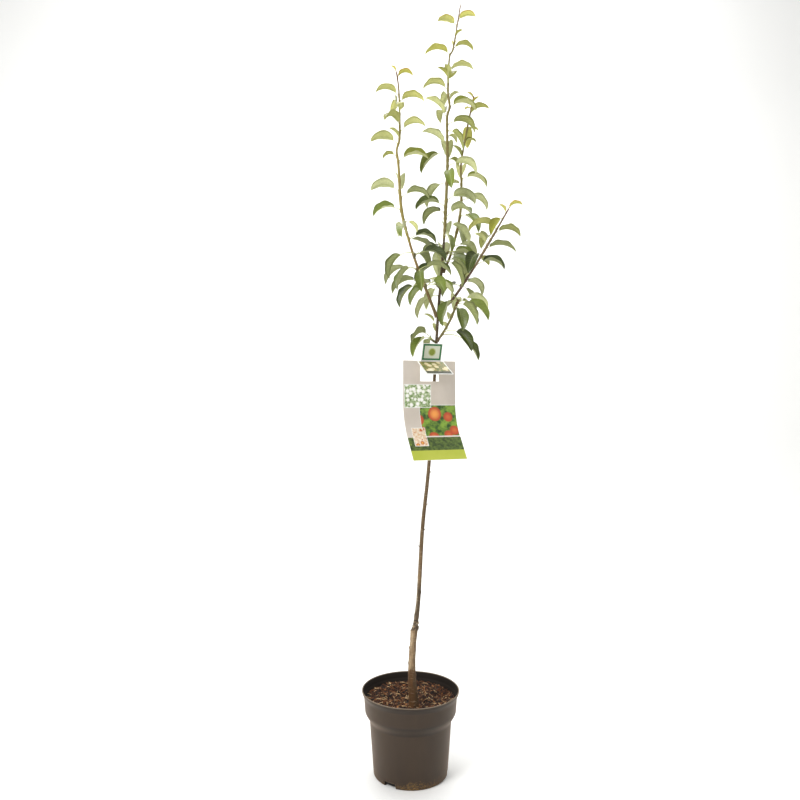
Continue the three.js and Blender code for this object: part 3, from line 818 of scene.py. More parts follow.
class NodeGraph:
    """Adds nodes to a node tree and joins them. A colour may be given as six hexadecimal digits."""

    def __init__(self, tree: NodeTree) -> None:
        """Works on a node tree."""
        self.tree = tree

    def add(self, kind: str, inputs: dict[str | int, object] | None = None,
            **settings: object) -> bpy.types.Node:
        """Adds a node.

        Args:
            kind: The node's type.
            inputs: Values, or sockets of other nodes, for its inputs by name or place.
            settings: Its own settings.

        Returns:
            The node.
        """
        node = self.tree.nodes.new(kind)
        # A group node has its sockets only once it has its tree, so the settings come first
        for name, value in settings.items():
            setattr(node, name, value)
        for key, value in (inputs or {}).items():
            if isinstance(value, Socket):
                self.tree.links.new(value, node.inputs[key])
            else:
                node.inputs[key].default_value = value
        return node

    def math(self, operation: str, first: object, second: object = 0.5, third: object = 0.5) -> Socket:
        """Returns the result of an operation on numbers."""
        return self.add("ShaderNodeMath", {0: first, 1: second, 2: third}, operation=operation).outputs[0]

    def product(self, first: object, *others: object) -> Socket:
        """Returns the product of numbers.

        Args:
            first: The first number.
            others: The others.

        Returns:
            The product's socket.
        """
        for other in others:
            first = self.math("MULTIPLY", first, other)
        return first

    def rest(self, value: object) -> Socket:
        """Returns what a value leaves of 1."""
        return self.math("SUBTRACT", 1.0, value)

    def line(self, value: object, slope: float, start: object) -> Socket:
        """Returns the start plus the slope times the value."""
        return self.math("MULTIPLY_ADD", value, slope, start)

    def ramp(self, value: object, low: float, high: float) -> Socket:
        """Returns a smooth step from 0 at low to 1 at high."""
        inputs = {"Value": value, "From Min": low, "From Max": high}
        return self.add("ShaderNodeMapRange", inputs, interpolation_type="SMOOTHSTEP").outputs[0]

    def near(self, value: object, middle: float, inner: float, outer: float) -> Socket:
        """Returns 1 within the inner distance of the middle, fading to 0 at the outer distance."""
        return self.rest(self.ramp(self.math("ABSOLUTE", self.math("SUBTRACT", value, middle)), inner, outer))

    def mix(self, factor: object, first: object, second: object, blend_type: str = "MIX") -> Socket:
        """Mixes two colours and returns the result.

        Args:
            factor: How much of the second colour there is.
            first: The first colour.
            second: The second colour.
            blend_type: The way of mixing.

        Returns:
            The mix.
        """
        first, second = (linear(part) if isinstance(part, str) else part for part in (first, second))
        settings = {"data_type": "RGBA", "blend_type": blend_type, "clamp_factor": True}
        return self.add("ShaderNodeMix", {0: factor, 6: first, 7: second}, **settings).outputs[2]

    def layered(self, base: object, *layers: tuple[object, str]) -> Socket:
        """Lays colours over a base, one after another.

        Args:
            base: The base colour.
            layers: A factor and a colour for each layer.

        Returns:
            The last mix.
        """
        for factor, colour in layers:
            base = self.mix(factor, base, colour)
        return base

    def shaded(self, colour: object, tint: object, amount: float) -> Socket:
        """Makes a colour lighter and darker by a tint round 0.

        Args:
            colour: The colour.
            tint: The tint.
            amount: How much of it shows.

        Returns:
            The shaded colour.
        """
        light = self.line(tint, amount, 1.0)
        shade = self.add("ShaderNodeCombineColor", {0: light, 1: light, 2: light}).outputs[0]
        return self.mix(1.0, colour, shade, "MULTIPLY")

    def noise(self, vector: object, scale: object, detail: float = 3.0, roughness: float = 0.55) -> Socket:
        """Returns a cloudy pattern between 0 and 1."""
        inputs = {"Vector": vector, "Scale": scale, "Detail": detail, "Roughness": roughness}
        return self.add("ShaderNodeTexNoise", inputs).outputs[0]

    def stretched(self, vector: object, scale: Point) -> Socket:
        """Returns a vector scaled apart along its three directions."""
        return self.add("ShaderNodeMapping", {"Vector": vector, "Scale": scale}).outputs[0]

    def parts(self, vector: object) -> Sequence[Socket]:
        """Returns a vector's three parts."""
        return self.add("ShaderNodeSeparateXYZ", {0: vector}).outputs

    def flat(self) -> Socket:
        """Returns the piece's own flat map."""
        return self.add("ShaderNodeUVMap", uv_map=FLAT_MAP).outputs[0]


class EffectGroup(NodeGraph):
    """A shader node group with named inputs and outputs."""

    def __init__(self, name: str, inputs: dict[str, float | None]) -> None:
        """Starts the group.

        Args:
            name: Its name.
            inputs: Its inputs with their usual values, or None for a vector.
        """
        super().__init__(bpy.data.node_groups.new(name, "ShaderNodeTree"))
        for label, value in inputs.items():
            kind = "NodeSocketVector" if value is None else "NodeSocketFloat"
            socket = self.tree.interface.new_socket(label, in_out="INPUT", socket_type=kind)
            if value is not None:
                socket.default_value = value
        self.given = self.add("NodeGroupInput").outputs

    def ended(self, results: dict[str, Socket]) -> NodeTree:
        """Adds the named outputs and returns the tree.

        Args:
            results: The outputs by name.

        Returns:
            The group's tree.
        """
        for label in results:
            self.tree.interface.new_socket(label, in_out="OUTPUT", socket_type="NodeSocketFloat")
        self.add("NodeGroupOutput", results)
        return self.tree


class Effects:
    """Effects that several materials share, each a node group built once."""

    def __init__(self) -> None:
        """Builds the groups."""
        self.grain = self._grain()
        self.dust = self._dust()
        self.veins = self._veins()
        self.round_spots = self._round_spots()

    @staticmethod
    def _grain() -> NodeTree:
        """Fine grain: a tint round 0 and a height, from a coarse and a fine cloud.

        Returns:
            The group.
        """
        group = EffectGroup("fine_grain", {"Vector": None, "Coarse": 60, "Fine": 900})
        coarse = group.noise(group.given["Vector"], group.given["Coarse"])
        fine = group.noise(group.given["Vector"], group.given["Fine"], 2.0)
        tint = group.math("SUBTRACT", coarse, 0.5)
        return group.ended({"Tint": tint, "Height": group.line(fine, 0.6, coarse)})

    @staticmethod
    def _dust() -> NodeTree:
        """Dust and soil that lie thicker towards the ground, as a mask.

        Returns:
            The group.
        """
        group = EffectGroup("settled_dust", {"Vector": None, "Height": 0, "Fade": 0.03})
        given = group.given
        depth = group.rest(group.math("DIVIDE", given["Height"], given["Fade"]))
        clouds = group.noise(given["Vector"], 45, 6.0, 0.7)
        specks = group.noise(given["Vector"], 420, 3.0, 0.7)
        total = group.line(depth, 0.55, group.line(specks, 0.9, clouds))
        return group.ended({"Mask": group.ramp(total, 1.24, 1.38)})

    @staticmethod
    def _veins() -> NodeTree:
        """A leaf's midrib and side veins from its flat map: a mask, a height and the margin.

        Returns:
            The group.
        """
        group = EffectGroup("leaf_veins", {"Pairs": 9, "Slant": 0.16})
        flat = group.flat()
        parts = group.parts(flat)
        side = group.math("ABSOLUTE", parts[0])
        midrib = group.rest(group.ramp(side, 0.02, 0.09))
        leaning = group.math("SUBTRACT", parts[1], group.product(side, group.given["Slant"]))
        wobble = group.product(group.noise(flat, 6.0), 0.02)
        step = group.product(group.math("ADD", leaning, wobble), group.given["Pairs"])
        saw = group.math("ABSOLUTE", group.math("SUBTRACT", group.math("FRACT", step), 0.5))
        fading = group.rest(group.ramp(side, 0.55, 1.0))
        faint = group.product(group.rest(group.ramp(saw, 0.0, 0.13)), fading, 0.5)
        vein = group.math("MAXIMUM", midrib, faint)
        net = group.product(group.noise(flat, 22.0), 0.14)
        height = group.math("SUBTRACT", net, vein)
        return group.ended({"Vein": vein, "Height": height, "Margin": group.ramp(side, 0.7, 1.0)})

    @staticmethod
    def _round_spots() -> NodeTree:
        """Round spots for a printed picture: a mask of the spots and a shade over each.

        Returns:
            The group.
        """
        group = EffectGroup("round_spots", {"Vector": None, "Scale": 5, "Size": 0.4})
        given = group.given
        inputs = {"Vector": given["Vector"], "Scale": given["Scale"], "Randomness": 0.75}
        distance = group.add("ShaderNodeTexVoronoi", inputs, feature="F1").outputs["Distance"]
        inside = group.math("DIVIDE", distance, given["Size"])
        return group.ended({"Spot": group.rest(group.ramp(inside, 0.86, 1.0)), "Shade": group.rest(inside)})


class Finish(NodeGraph):
    """A material under construction, with its shader and the surface's own coordinates."""

    def __init__(self, name: str, roughness: float) -> None:
        """Starts a material with a plain shader.

        Args:
            name: The material's name.
            roughness: The shader's roughness where nothing else sets it.
        """
        self.material = bpy.data.materials.new(name)
        self.material.use_nodes = True
        super().__init__(self.material.node_tree)
        self.tree.nodes.clear()
        self.shader = self.add("ShaderNodeBsdfPrincipled", {"Roughness": roughness})
        self.add("ShaderNodeOutputMaterial", {"Surface": self.shader.outputs[0]})
        self.place = self.add("ShaderNodeTexCoord").outputs["Object"]

    def group(self, tree: NodeTree, inputs: dict[str, object]) -> Sequence[Socket]:
        """Adds a shared effect and returns its outputs."""
        return self.add("ShaderNodeGroup", inputs, node_tree=tree).outputs

    def grain(self, effects: Effects, coarse: float, fine: float, upright: float = 1) -> Sequence[Socket]:
        """Adds fine grain, drawn out upwards where upright is under 1, and returns its tint and height."""
        vector = self.place if upright == 1 else self.stretched(self.place, (1, 1, upright))
        return self.group(effects.grain, {"Vector": vector, "Coarse": coarse, "Fine": fine})

    def attribute(self, name: str) -> Socket:
        """Returns a named value of the mesh."""
        return self.add("ShaderNodeAttribute", attribute_name=name).outputs["Fac"]

    def join(self, name: str, socket: Socket) -> None:
        """Joins a socket to one of the shader's inputs."""
        self.tree.links.new(socket, self.shader.inputs[name])

    def ended(self, colour: Socket, height: Socket, distance: float, strength: float) -> Material:
        """Joins the colour, raises the surface and returns the material.

        Args:
            colour: The base colour.
            height: The height's socket.
            distance: How far a height of 1 stands out, in metres.
            strength: How much of it shows.

        Returns:
            The material.
        """
        self.join("Base Color", colour)
        inputs = {"Height": height, "Distance": distance, "Strength": strength}
        self.join("Normal", self.add("ShaderNodeBump", inputs).outputs[0])
        return self.material


@dataclass(frozen=True)
class BarkFinish:
    """Bark: stained at the soil, pale grey on the rootstock, brown on the stem, golden or red on the boughs.

    An edge is the two heights, in metres, between which one colour takes over from another. A band is a
    height with the distances from it at which the band begins to fade and ends.
    """

    stained: str = "583917"
    stock: str = "917858"
    stem: str = "7c6344"
    middle: str = "5f4b2f"
    upper: str = "4d3f2a"
    golden: str = "8e7442"
    reddish: str = "6e5348"
    # The scars' pale colour, which also paints light on the trunk's left side.
    scar: str = "b8a487"
    # Painted shade: dark mottles on the trunk's right side, away from the key light.
    painted_side_shade: str = "54432c"
    dark: str = "2a1f15"
    stock_edge: Point = (0.219, 0.225)
    stem_edge: Point = (0.302, 0.316)
    # The heights between which the painted light and shade on the trunk's sides fade out.
    painted_side_edge: Point = (0.36, 0.6)
    pale_edge: Point = (0.22, 0.23)
    middle_edge: Point = (0.36, 0.50)
    upper_edge: Point = (0.78, 0.92)
    brown_band: Point = (0.352, 0.02, 0.06)
    knot_band: Point = (0.3065, 0.004, 0.011)
    callus_band: Point = (0.3128, 0.001, 0.0025)
    groove_band: Point = (0.3185, 0.0005, 0.002)

    def material(self, effects: Effects) -> Material:
        """Builds the material.

        Args:
            effects: The shared effects.

        Returns:
            The material.
        """
        finish = Finish("bark", 0.72)
        ramp, near, product = finish.ramp, finish.near, finish.product
        height = finish.parts(finish.place)[2]
        tint, relief = finish.grain(effects, 260.0, 1500.0, 0.22)
        uneven = finish.line(tint, 0.012, height)
        aside = finish.attribute("aside")
        patches = finish.noise(finish.stretched(finish.place, (110, 110, 70)), 1.0, 4.0, 0.6)
        low = finish.rest(ramp(height, *self.painted_side_edge))
        above_soil = product(ramp(height, *self.pale_edge), 0.5)
        knots = ramp(finish.noise(finish.place, 170), 0.36, 0.52)
        marks = finish.noise(finish.stretched(finish.place, (60.0, 60.0, 480.0)), 1.0, 4.0, 0.65)
        colour = finish.layered(
            self.stained,
            (ramp(uneven, *self.stock_edge), self.stock),
            (ramp(uneven, *self.stem_edge), self.stem),
            (near(uneven, *self.brown_band), self.upper),
            # Painted shade: dark mottles on the trunk's right side.
            (product(ramp(aside, 0.45, 0.85), ramp(patches, 0.36, 0.56), product(low, 0.6)), self.painted_side_shade),
            # Painted light: pale patches, in the scar's colour, on the trunk's left side.
            (product(ramp(aside, 0.45, 0.15), ramp(patches, 0.62, 0.42), above_soil, low), self.scar),
            (ramp(height, *self.middle_edge), self.middle),
            (ramp(height, *self.upper_edge), self.upper),
            (finish.attribute("gold"), self.golden),
            (finish.attribute("red"), self.reddish),
            (product(near(height, *self.knot_band), knots, 0.85), self.dark),
            (product(near(uneven, *self.callus_band), ramp(aside, 0.5, 0.9)), self.scar),
            (near(uneven, *self.groove_band), self.dark),
            (finish.attribute("scar"), self.dark),
            (product(ramp(marks, 0.52, 0.66), 0.5), self.middle),
            (product(ramp(marks, 0.44, 0.34), 0.35), self.scar),
        )
        return finish.ended(finish.shaded(colour, tint, 1.3), relief, 0.0006, 0.9)


@dataclass(frozen=True)
class TwigFinish:
    """Young wood: dark olive, golden or reddish by its shoot, red-brown at its tip."""

    dark: str = "5c572c"
    golden: str = "908140"
    reddish: str = "7a6248"
    tip: str = "6d4c2c"
    speck: str = "3d3020"

    def material(self, effects: Effects) -> Material:
        """Builds the material.

        Args:
            effects: The shared effects.

        Returns:
            The material.
        """
        finish = Finish("twig", 0.5)
        tint, relief = finish.grain(effects, 300.0, 1800.0, 0.3)
        specks = finish.ramp(finish.noise(finish.place, 700, 2.0), 0.6, 0.72)
        colour = finish.layered(
            self.dark,
            (finish.attribute("gold"), self.golden),
            (finish.attribute("red"), self.reddish),
            (finish.ramp(finish.attribute("along"), 0.78, 0.97), self.tip),
            (finish.product(specks, 0.5), self.speck),
        )
        return finish.ended(finish.shaded(colour, tint, 0.7), relief, 0.0003, 0.7)


@dataclass(frozen=True)
class GrainedFinish:
    """A plain finish whose fine grain runs between two shades of it, as on buds, card and the strap."""

    name: str
    light: str
    dark: str
    coarse: float = 18.0
    fine: float = 900.0
    roughness: float = 0.42
    contrast: float = 0.25
    relief: float = 0.00006
    strength: float = 0.4

    def material(self, effects: Effects) -> Material:
        """Builds the material.

        Args:
            effects: The shared effects.

        Returns:
            The material.
        """
        finish = Finish(self.name, self.roughness)
        tint, relief = finish.grain(effects, self.coarse, self.fine)
        factor = finish.ramp(tint, -self.contrast, self.contrast)
        colour = finish.mix(factor, self.dark, self.light)
        return finish.ended(colour, relief, self.relief, self.strength)


@dataclass(frozen=True)
class LeafFinish:
    """One face of the leaves: its colours by age, its veins, its flush, its roughness and its relief."""

    name: str
    mature: str
    fresh: str
    young: str
    vein: str
    flush: str
    roughness: float
    relief: float

    def material(self, effects: Effects) -> Material:
        """Builds the material.

        Args:
            effects: The shared effects.

        Returns:
            The material.
        """
        finish = Finish(self.name, self.roughness)
        veins = finish.group(effects.veins, {"Pairs": 9.0, "Slant": 0.3})
        clouded = finish.line(finish.noise(finish.place, 60), 0.3, finish.attribute("tone"))
        colour = finish.layered(
            self.mature,
            (finish.ramp(clouded, 0.35, 1.15), self.fresh),
            (finish.attribute("youth"), self.young),
            (finish.product(veins["Margin"], finish.attribute("flush")), self.flush),
            (finish.product(veins["Vein"], 0.45), self.vein),
        )
        tint, _ = finish.grain(effects, 240.0, 2400.0)
        finish.join("Roughness", finish.line(tint, 0.25, self.roughness))
        return finish.ended(finish.shaded(colour, tint, 0.5), veins["Height"], self.relief, 0.8)


@dataclass(frozen=True)
class StalkFinish:
    """Leaf stalks: pale yellow-green, with a little red near the stem."""

    pale: str = "b9c07a"
    red: str = "9c7448"

    def material(self, effects: Effects) -> Material:
        """Builds the material.

        Args:
            effects: The shared effects.

        Returns:
            The material.
        """
        finish = Finish("stalk", 0.48)
        near_stem = finish.rest(finish.ramp(finish.attribute("along"), 0.0, 0.35))
        red = finish.product(near_stem, finish.ramp(finish.noise(finish.place, 180, 2.0), 0.3, 0.7))
        relief = finish.grain(effects, 500.0, 2500.0)[1]
        return finish.ended(finish.mix(red, self.pale, self.red), relief, 0.0002, 0.6)


@dataclass(frozen=True)
class PotFinish:
    """Dark brown-grey moulded plastic with a fine grain, a dull gloss and specks of soil at its foot."""

    name: str
    plastic: str
    film: str
    rough: float
    gloss: float
    haze: float
    haze_rough: float = 0.45
    haze_tint: str = "c8a888"
    # Painted highlight: the pale line along the rim's top edge.
    rim_highlight: str = "93836f"
    dust: str = "7a5f38"
    # Painted shade under the collar and under the rim.
    shadow: str = "150f0a"
    collar_shade_band: Point = (0.119, 0.0075, 0.0125)
    collar_shade_width: Point = (0.004, 0.035, 0.085)
    rim_shade_band: Point = (0.1635, 0.0035, 0.0070)
    rim_highlight_band: Point = (0.1705, 0.0004, 0.0012)
    dirt_width: Point = (0.012, 0.012, 0.06)
    dirt_edge: Point = (0.014, 0.038)

    def material(self, effects: Effects) -> Material:
        """Builds the material.

        Args:
            effects: The shared effects.

        Returns:
            The material.
        """
        finish = Finish(self.name, self.rough)
        for name, value in (("Specular IOR Level", self.gloss), ("Sheen Weight", self.haze),
                            ("Sheen Roughness", self.haze_rough), ("Sheen Tint", linear(self.haze_tint))):
            finish.shader.inputs[name].default_value = value
        across, _, height = finish.parts(finish.place)
        tint, relief = finish.grain(effects, 30.0, 1400.0, 0.35)
        near = finish.near
        # Painted shade: a dark band under the collar, strongest at the front and back, and one under the rim.
        shade_under_collar = finish.product(near(height, *self.collar_shade_band), near(across, *self.collar_shade_width))
        shade = finish.product(finish.math("MAXIMUM", shade_under_collar, near(height, *self.rim_shade_band)), 0.7)
        dust = finish.group(effects.dust, {"Vector": finish.place, "Height": height})
        in_front = finish.line(near(across, *self.dirt_width), 0.8, 0.2)
        low = finish.rest(finish.ramp(height, *self.dirt_edge))
        crumbs = finish.ramp(finish.noise(finish.place, 520, 2.0), 0.46, 0.56)
        dirt = finish.product(dust["Mask"], in_front, low, crumbs)
        colour = finish.layered(
            self.plastic,
            (finish.ramp(tint, -0.35, 0.6), self.film),
            (shade, self.shadow),
            # Painted highlight along the rim's top edge.
            (finish.product(near(height, *self.rim_highlight_band), 0.45), self.rim_highlight),
            (dirt, self.dust),
        )
        finish.join("Roughness", finish.line(dirt, 0.4, finish.line(tint, 0.2, self.rough)))
        return finish.ended(colour, relief, 0.0001, 0.5)


@dataclass(frozen=True)
class CompostFinish:
    """Coir and bark: a dark bed, or loose bits whose colours are dealt out one by one."""

    name: str
    dark: str
    middle: str
    light: str
    dealt: bool

    def material(self, effects: Effects) -> Material:
        """Builds the material.

        Args:
            effects: The shared effects.

        Returns:
            The material.
        """
        finish = Finish(self.name, 0.85)
        tint, relief = finish.grain(effects, 320.0, 1600.0)
        if self.dealt:
            deal = finish.math("ADD", finish.attribute("tint"), tint)
        else:
            deal = finish.line(tint, 0.8, 0.35)
        layers = ((finish.ramp(deal, 0.2, 0.68), self.middle), (finish.ramp(deal, 0.74, 1.0), self.light))
        return finish.ended(finish.layered(self.dark, *layers), relief, 0.001, 0.9)


@dataclass(frozen=True)
class PictureFinish:
    """A printed picture of plain round spots on a leafy ground."""

    name: str
    ground: tuple[str, str]
    spots: tuple[str, str]
    scale: float
    size: float = 0.5

    def material(self, effects: Effects) -> Material:
        """Builds the material.

        Args:
            effects: The shared effects.

        Returns:
            The material.
        """
        finish = Finish(self.name, 0.4)
        flat = finish.flat()
        leafy = finish.ramp(finish.noise(flat, self.scale * 2.2, 4.0, 0.6), 0.35, 0.65)
        spots = finish.group(effects.round_spots, {"Vector": flat, "Scale": self.scale, "Size": self.size})
        spot = finish.mix(finish.ramp(spots["Shade"], 0.05, 0.75), *self.spots)
        colour = finish.mix(spots["Spot"], finish.mix(leafy, *self.ground), spot)
        return finish.ended(colour, finish.grain(effects, 18.0, 900.0)[1], 0.00006, 0.4)


@dataclass(frozen=True)
class BadgeFinish:
    """The header's middle: a disc on pale card, with a lighter band round it."""

    card: str = "dfe3cf"
    disc: str = "8d9a35"
    band: str = "c5cb8d"
    middle: float = 0.18
    size: float = 0.115
    disc_edge: Point = (0.52, 0.58)
    band_edge: Point = (0.70, 0.76)

    def material(self, effects: Effects) -> Material:
        """Builds the material.

        Args:
            effects: The shared effects.

        Returns:
            The material.
        """
        finish = Finish("label_badge", 0.4)
        inputs = {0: finish.flat(), 1: (0, self.middle, 0)}
        moved = finish.add("ShaderNodeVectorMath", inputs, operation="ADD").outputs[0]
        scaled = finish.stretched(moved, (1 / self.size, 1 / self.size, 0))
        away = finish.add("ShaderNodeVectorMath", {0: scaled}, operation="LENGTH").outputs[1]
        band, disc = (finish.rest(finish.ramp(away, *edge)) for edge in (self.band_edge, self.disc_edge))
        colour = finish.layered(self.card, (band, self.band), (disc, self.disc))
        return finish.ended(colour, finish.grain(effects, 18.0, 900.0)[1], 0.00006, 0.4)


@dataclass(frozen=True)
class StudioFinish:
    """The pale floor and backdrop."""

    colour: str = "f8f8f6"
    cloud: str = "e6e6e4"

    def material(self, _effects: Effects) -> Material:
        """Builds the material.

        Args:
            _effects: The shared effects, which it leaves alone.

        Returns:
            The material.
        """
        finish = Finish("studio_floor", 0.9)
        clouds = finish.product(finish.noise(finish.place, 0.6, 2.0), 0.08)
        finish.join("Base Color", finish.mix(clouds, self.colour, self.cloud))
        return finish.material


# Geometry node trees for what repeats


class Scatter:
    """A geometry node tree that sets copies of a small shape over a surface or on points."""

    def __init__(self, name: str, sizes: dict[str, float]) -> None:
        """Starts the tree.

        Args:
            name: The tree's name.
            sizes: Its named sizes, with their values in metres or counts.
        """
        self.tree = bpy.data.node_groups.new(name, "GeometryNodeTree")
        self.sizes = sizes
        last = {"Seed": "Int", "Material": "Material"}
        for label, kind in {"Geometry": "Geometry", **dict.fromkeys(sizes, "Float"), **last}.items():
            self.tree.interface.new_socket(label, in_out="INPUT", socket_type="NodeSocket" + kind)
        self.tree.interface.new_socket("Geometry", in_out="OUTPUT", socket_type="NodeSocketGeometry")
        self.graph = NodeGraph(self.tree)
        self.given = self.graph.add("NodeGroupInput").outputs

    def random(self, low: float | Point, high: float | Point, row: int) -> Socket:
        """Returns a random number or vector for each copy.

        Args:
            low: The least value, a number or a vector.
            high: The greatest value.
            row: What tells this row of numbers from the others.

        Returns:
            The value's socket.
        """
        kind, first = ("FLOAT", 2) if isinstance(low, float) else ("FLOAT_VECTOR", 0)
        seed = self.graph.math("ADD", self.given["Seed"], float(row))
        inputs = {first: low, first + 1: high, "Seed": seed}
        return self.graph.add("FunctionNodeRandomValue", inputs, data_type=kind).outputs[first // 2]

    def over_surface(self) -> Socket:
        """Returns points spread over the faces, at the density named among the sizes.

        Returns:
            The points.
        """
        inputs = {"Mesh": self.given["Geometry"], **{name: self.given[name] for name in ("Density", "Seed")}}
        kind = "GeometryNodeDistributePointsOnFaces"
        return self.graph.add(kind, inputs, distribute_method="RANDOM").outputs[0]

    def finish(self, points: Socket, shape: Socket, rotation: Socket, scale: Socket) -> None:
        """Sets the shape on the points, deals out the tints, and ends the tree.

        Args:
            points: The points.
            shape: The small shape.
            rotation: Each copy's rotation.
            scale: Each copy's scale.
        """
        add = self.graph.add
        inputs = {"Points": points, "Instance": shape, "Rotation": rotation, "Scale": scale}
        copies = add("GeometryNodeInstanceOnPoints", inputs).outputs[0]
        inputs = {"Geometry": copies, "Name": "tint", "Value": self.random(0.0, 1.0, 9)}
        settings = {"data_type": "FLOAT", "domain": "INSTANCE"}
        tinted = add("GeometryNodeStoreNamedAttribute", inputs, **settings).outputs[0]
        real = add("GeometryNodeRealizeInstances", {"Geometry": tinted}).outputs[0]
        inputs = {"Geometry": real, "Material": self.given["Material"]}
        add("NodeGroupOutput", {"Geometry": add("GeometryNodeSetMaterial", inputs).outputs[0]})

    def apply(self, base: Piece, name: str, seed: int, material: Material) -> Piece:
        """Runs the tree on an object and turns the result into a plain piece.

        Args:
            base: The surface or points, which is removed.
            name: The new piece's name.
            seed: The seed of its random numbers.
            material: The copies' material.

        Returns:
            The new piece.
        """
        modifier = base.modifiers.new(name, "NODES")
        modifier.node_group = self.tree
        values = {**self.sizes, "Seed": seed, "Material": material}
        for item in self.tree.interface.items_tree:
            if item.in_out == "INPUT" and item.name in values:
                modifier[item.identifier] = values[item.name]
        mesh = evaluated_mesh(base)
        mesh.name = name
        base.modifiers.remove(modifier)
        old = base.data
        bpy.data.objects.remove(base)
        bpy.data.meshes.remove(old)
        return add_object(name, mesh)


def bark_chips(density: float, length: float) -> Scatter:
    """Returns flat angular chips lying over a surface.

    Args:
        density: Chips to the square metre.
        length: A usual chip's length in metres.

    Returns:
        The scatter.
    """
    scatter = Scatter("bark_chips", {"Density": density, "Length": length})
    add = scatter.graph.add
    stone = add("GeometryNodeMeshIcoSphere", {"Radius": 1.0, "Subdivisions": 1}).outputs[0]
    half_sizes = (scatter.graph.product(scatter.given["Length"], share) for share in (0.5, 0.2, 0.14))
    size = add("ShaderNodeCombineXYZ", dict(enumerate(half_sizes))).outputs[0]
    chip = add("GeometryNodeTransform", {"Geometry": stone, "Scale": size}).outputs[0]
    rotation = scatter.random((-1.0, -1.0, 0.0), (1.0, 1.0, FULL_TURN), 1)
    scale = scatter.random((0.35, 0.5, 0.6), (1.25, 1.3, 1.6), 2)
    scatter.finish(scatter.over_surface(), chip, rotation, scale)
    return scatter


def coir_fibres(density: float, length: float) -> Scatter:
    """Returns thin bent fibres lying over a surface.

    Args:
        density: Fibres to the square metre.
        length: A usual fibre's length in metres.

    Returns:
        The scatter.
    """
    scatter = Scatter("coir_fibres", {"Density": density, "Length": length, "Thickness": 0.0005})
    add = scatter.graph.add
    half = scatter.graph.product(scatter.given["Length"], 0.5)
    rise = scatter.graph.product(half, 0.35)
    places = {"Start": {0: scatter.graph.product(half, -1.0)}, "Middle": {1: rise, 2: rise}, "End": {0: half}}
    inputs = {name: add("ShaderNodeCombineXYZ", parts).outputs[0] for name, parts in places.items()}
    line = add("GeometryNodeCurveQuadraticBezier", {"Resolution": 5, **inputs}).outputs[0]
    inputs = {"Resolution": 4, "Radius": scatter.given["Thickness"]}
    ring = add("GeometryNodeCurvePrimitiveCircle", inputs).outputs[0]
    inputs = {"Curve": line, "Profile Curve": ring, "Fill Caps": True}
    fibre = add("GeometryNodeCurveToMesh", inputs).outputs[0]
    rotation = scatter.random((-0.45, -0.45, 0.0), (0.45, 0.45, FULL_TURN), 3)
    scale = scatter.random((0.5, 0.6, 0.6), (1.5, 1.4, 1.4), 4)
    scatter.finish(scatter.over_surface(), fibre, rotation, scale)
    return scatter


def pointed_buds() -> Scatter:
    """Returns pointed buds on points, each along the heading and at the size stored with its point.

    Returns:
        The scatter.
    """
    scatter = Scatter("pointed_buds", {"Length": 0.0042, "Radius": 0.0011})
    add, given = scatter.graph.add, scatter.given
    inputs = {"Vertices": 7, "Side Segments": 3, "Radius Top": 0.0, "Radius Bottom": given["Radius"]}
    cone = add("GeometryNodeMeshCone", {**inputs, "Depth": given["Length"]}).outputs["Mesh"]
    heading, size = (add("GeometryNodeInputNamedAttribute", {"Name": name}, data_type=kind).outputs[0]
                     for name, kind in (("heading", "FLOAT_VECTOR"), ("size", "FLOAT")))
    turned = add("FunctionNodeAlignRotationToVector", {"Vector": heading}, axis="Z").outputs[0]
    points = add("GeometryNodeMeshToPoints", {"Mesh": given["Geometry"]}).outputs[0]
    scatter.finish(points, cone, turned, size)
    return scatter


# The pieces


def place(piece: Piece, nodes: Sequence[str], slot: str) -> None:
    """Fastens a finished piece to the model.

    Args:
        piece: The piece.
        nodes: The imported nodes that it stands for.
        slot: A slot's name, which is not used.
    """
    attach(piece, "root")
    if nodes:
        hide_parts(*nodes)
    log.info("%s: %d faces", piece.name, len(piece.data.polygons))


TRUNK_BUDS = ((613, 1.0), (547, 1.0), (498, 1.0), (461, -1.0), (700, -1.0), (765, 1.0))


@dataclass(frozen=True)
class Hue:
    """How golden and how red the wood of a bough and its shoot is, and how light the shoot's leaves are."""

    gold: float = 0.0
    red: float = 0.0
    light: float = 0.0


HUES = {
    "left_bough": Hue(0.9), "left_shoot": Hue(1.0, 0.0, 0.3), "back_bough": Hue(0.5), "back_shoot": Hue(0.7),
    "right_bough": Hue(0.1, 0.7), "right_shoot": Hue(0.2, 0.7, -0.1), "low_bough": Hue(0.3),
    "low_shoot": Hue(0.3, 0.0, 0.08), "leader_shoot": Hue(0.55, 0.0, 0.15), "right_spur": Hue(light=-0.3),
    "middle_spur_right": Hue(light=-0.3), "crown_spur_right": Hue(light=-0.2),
}


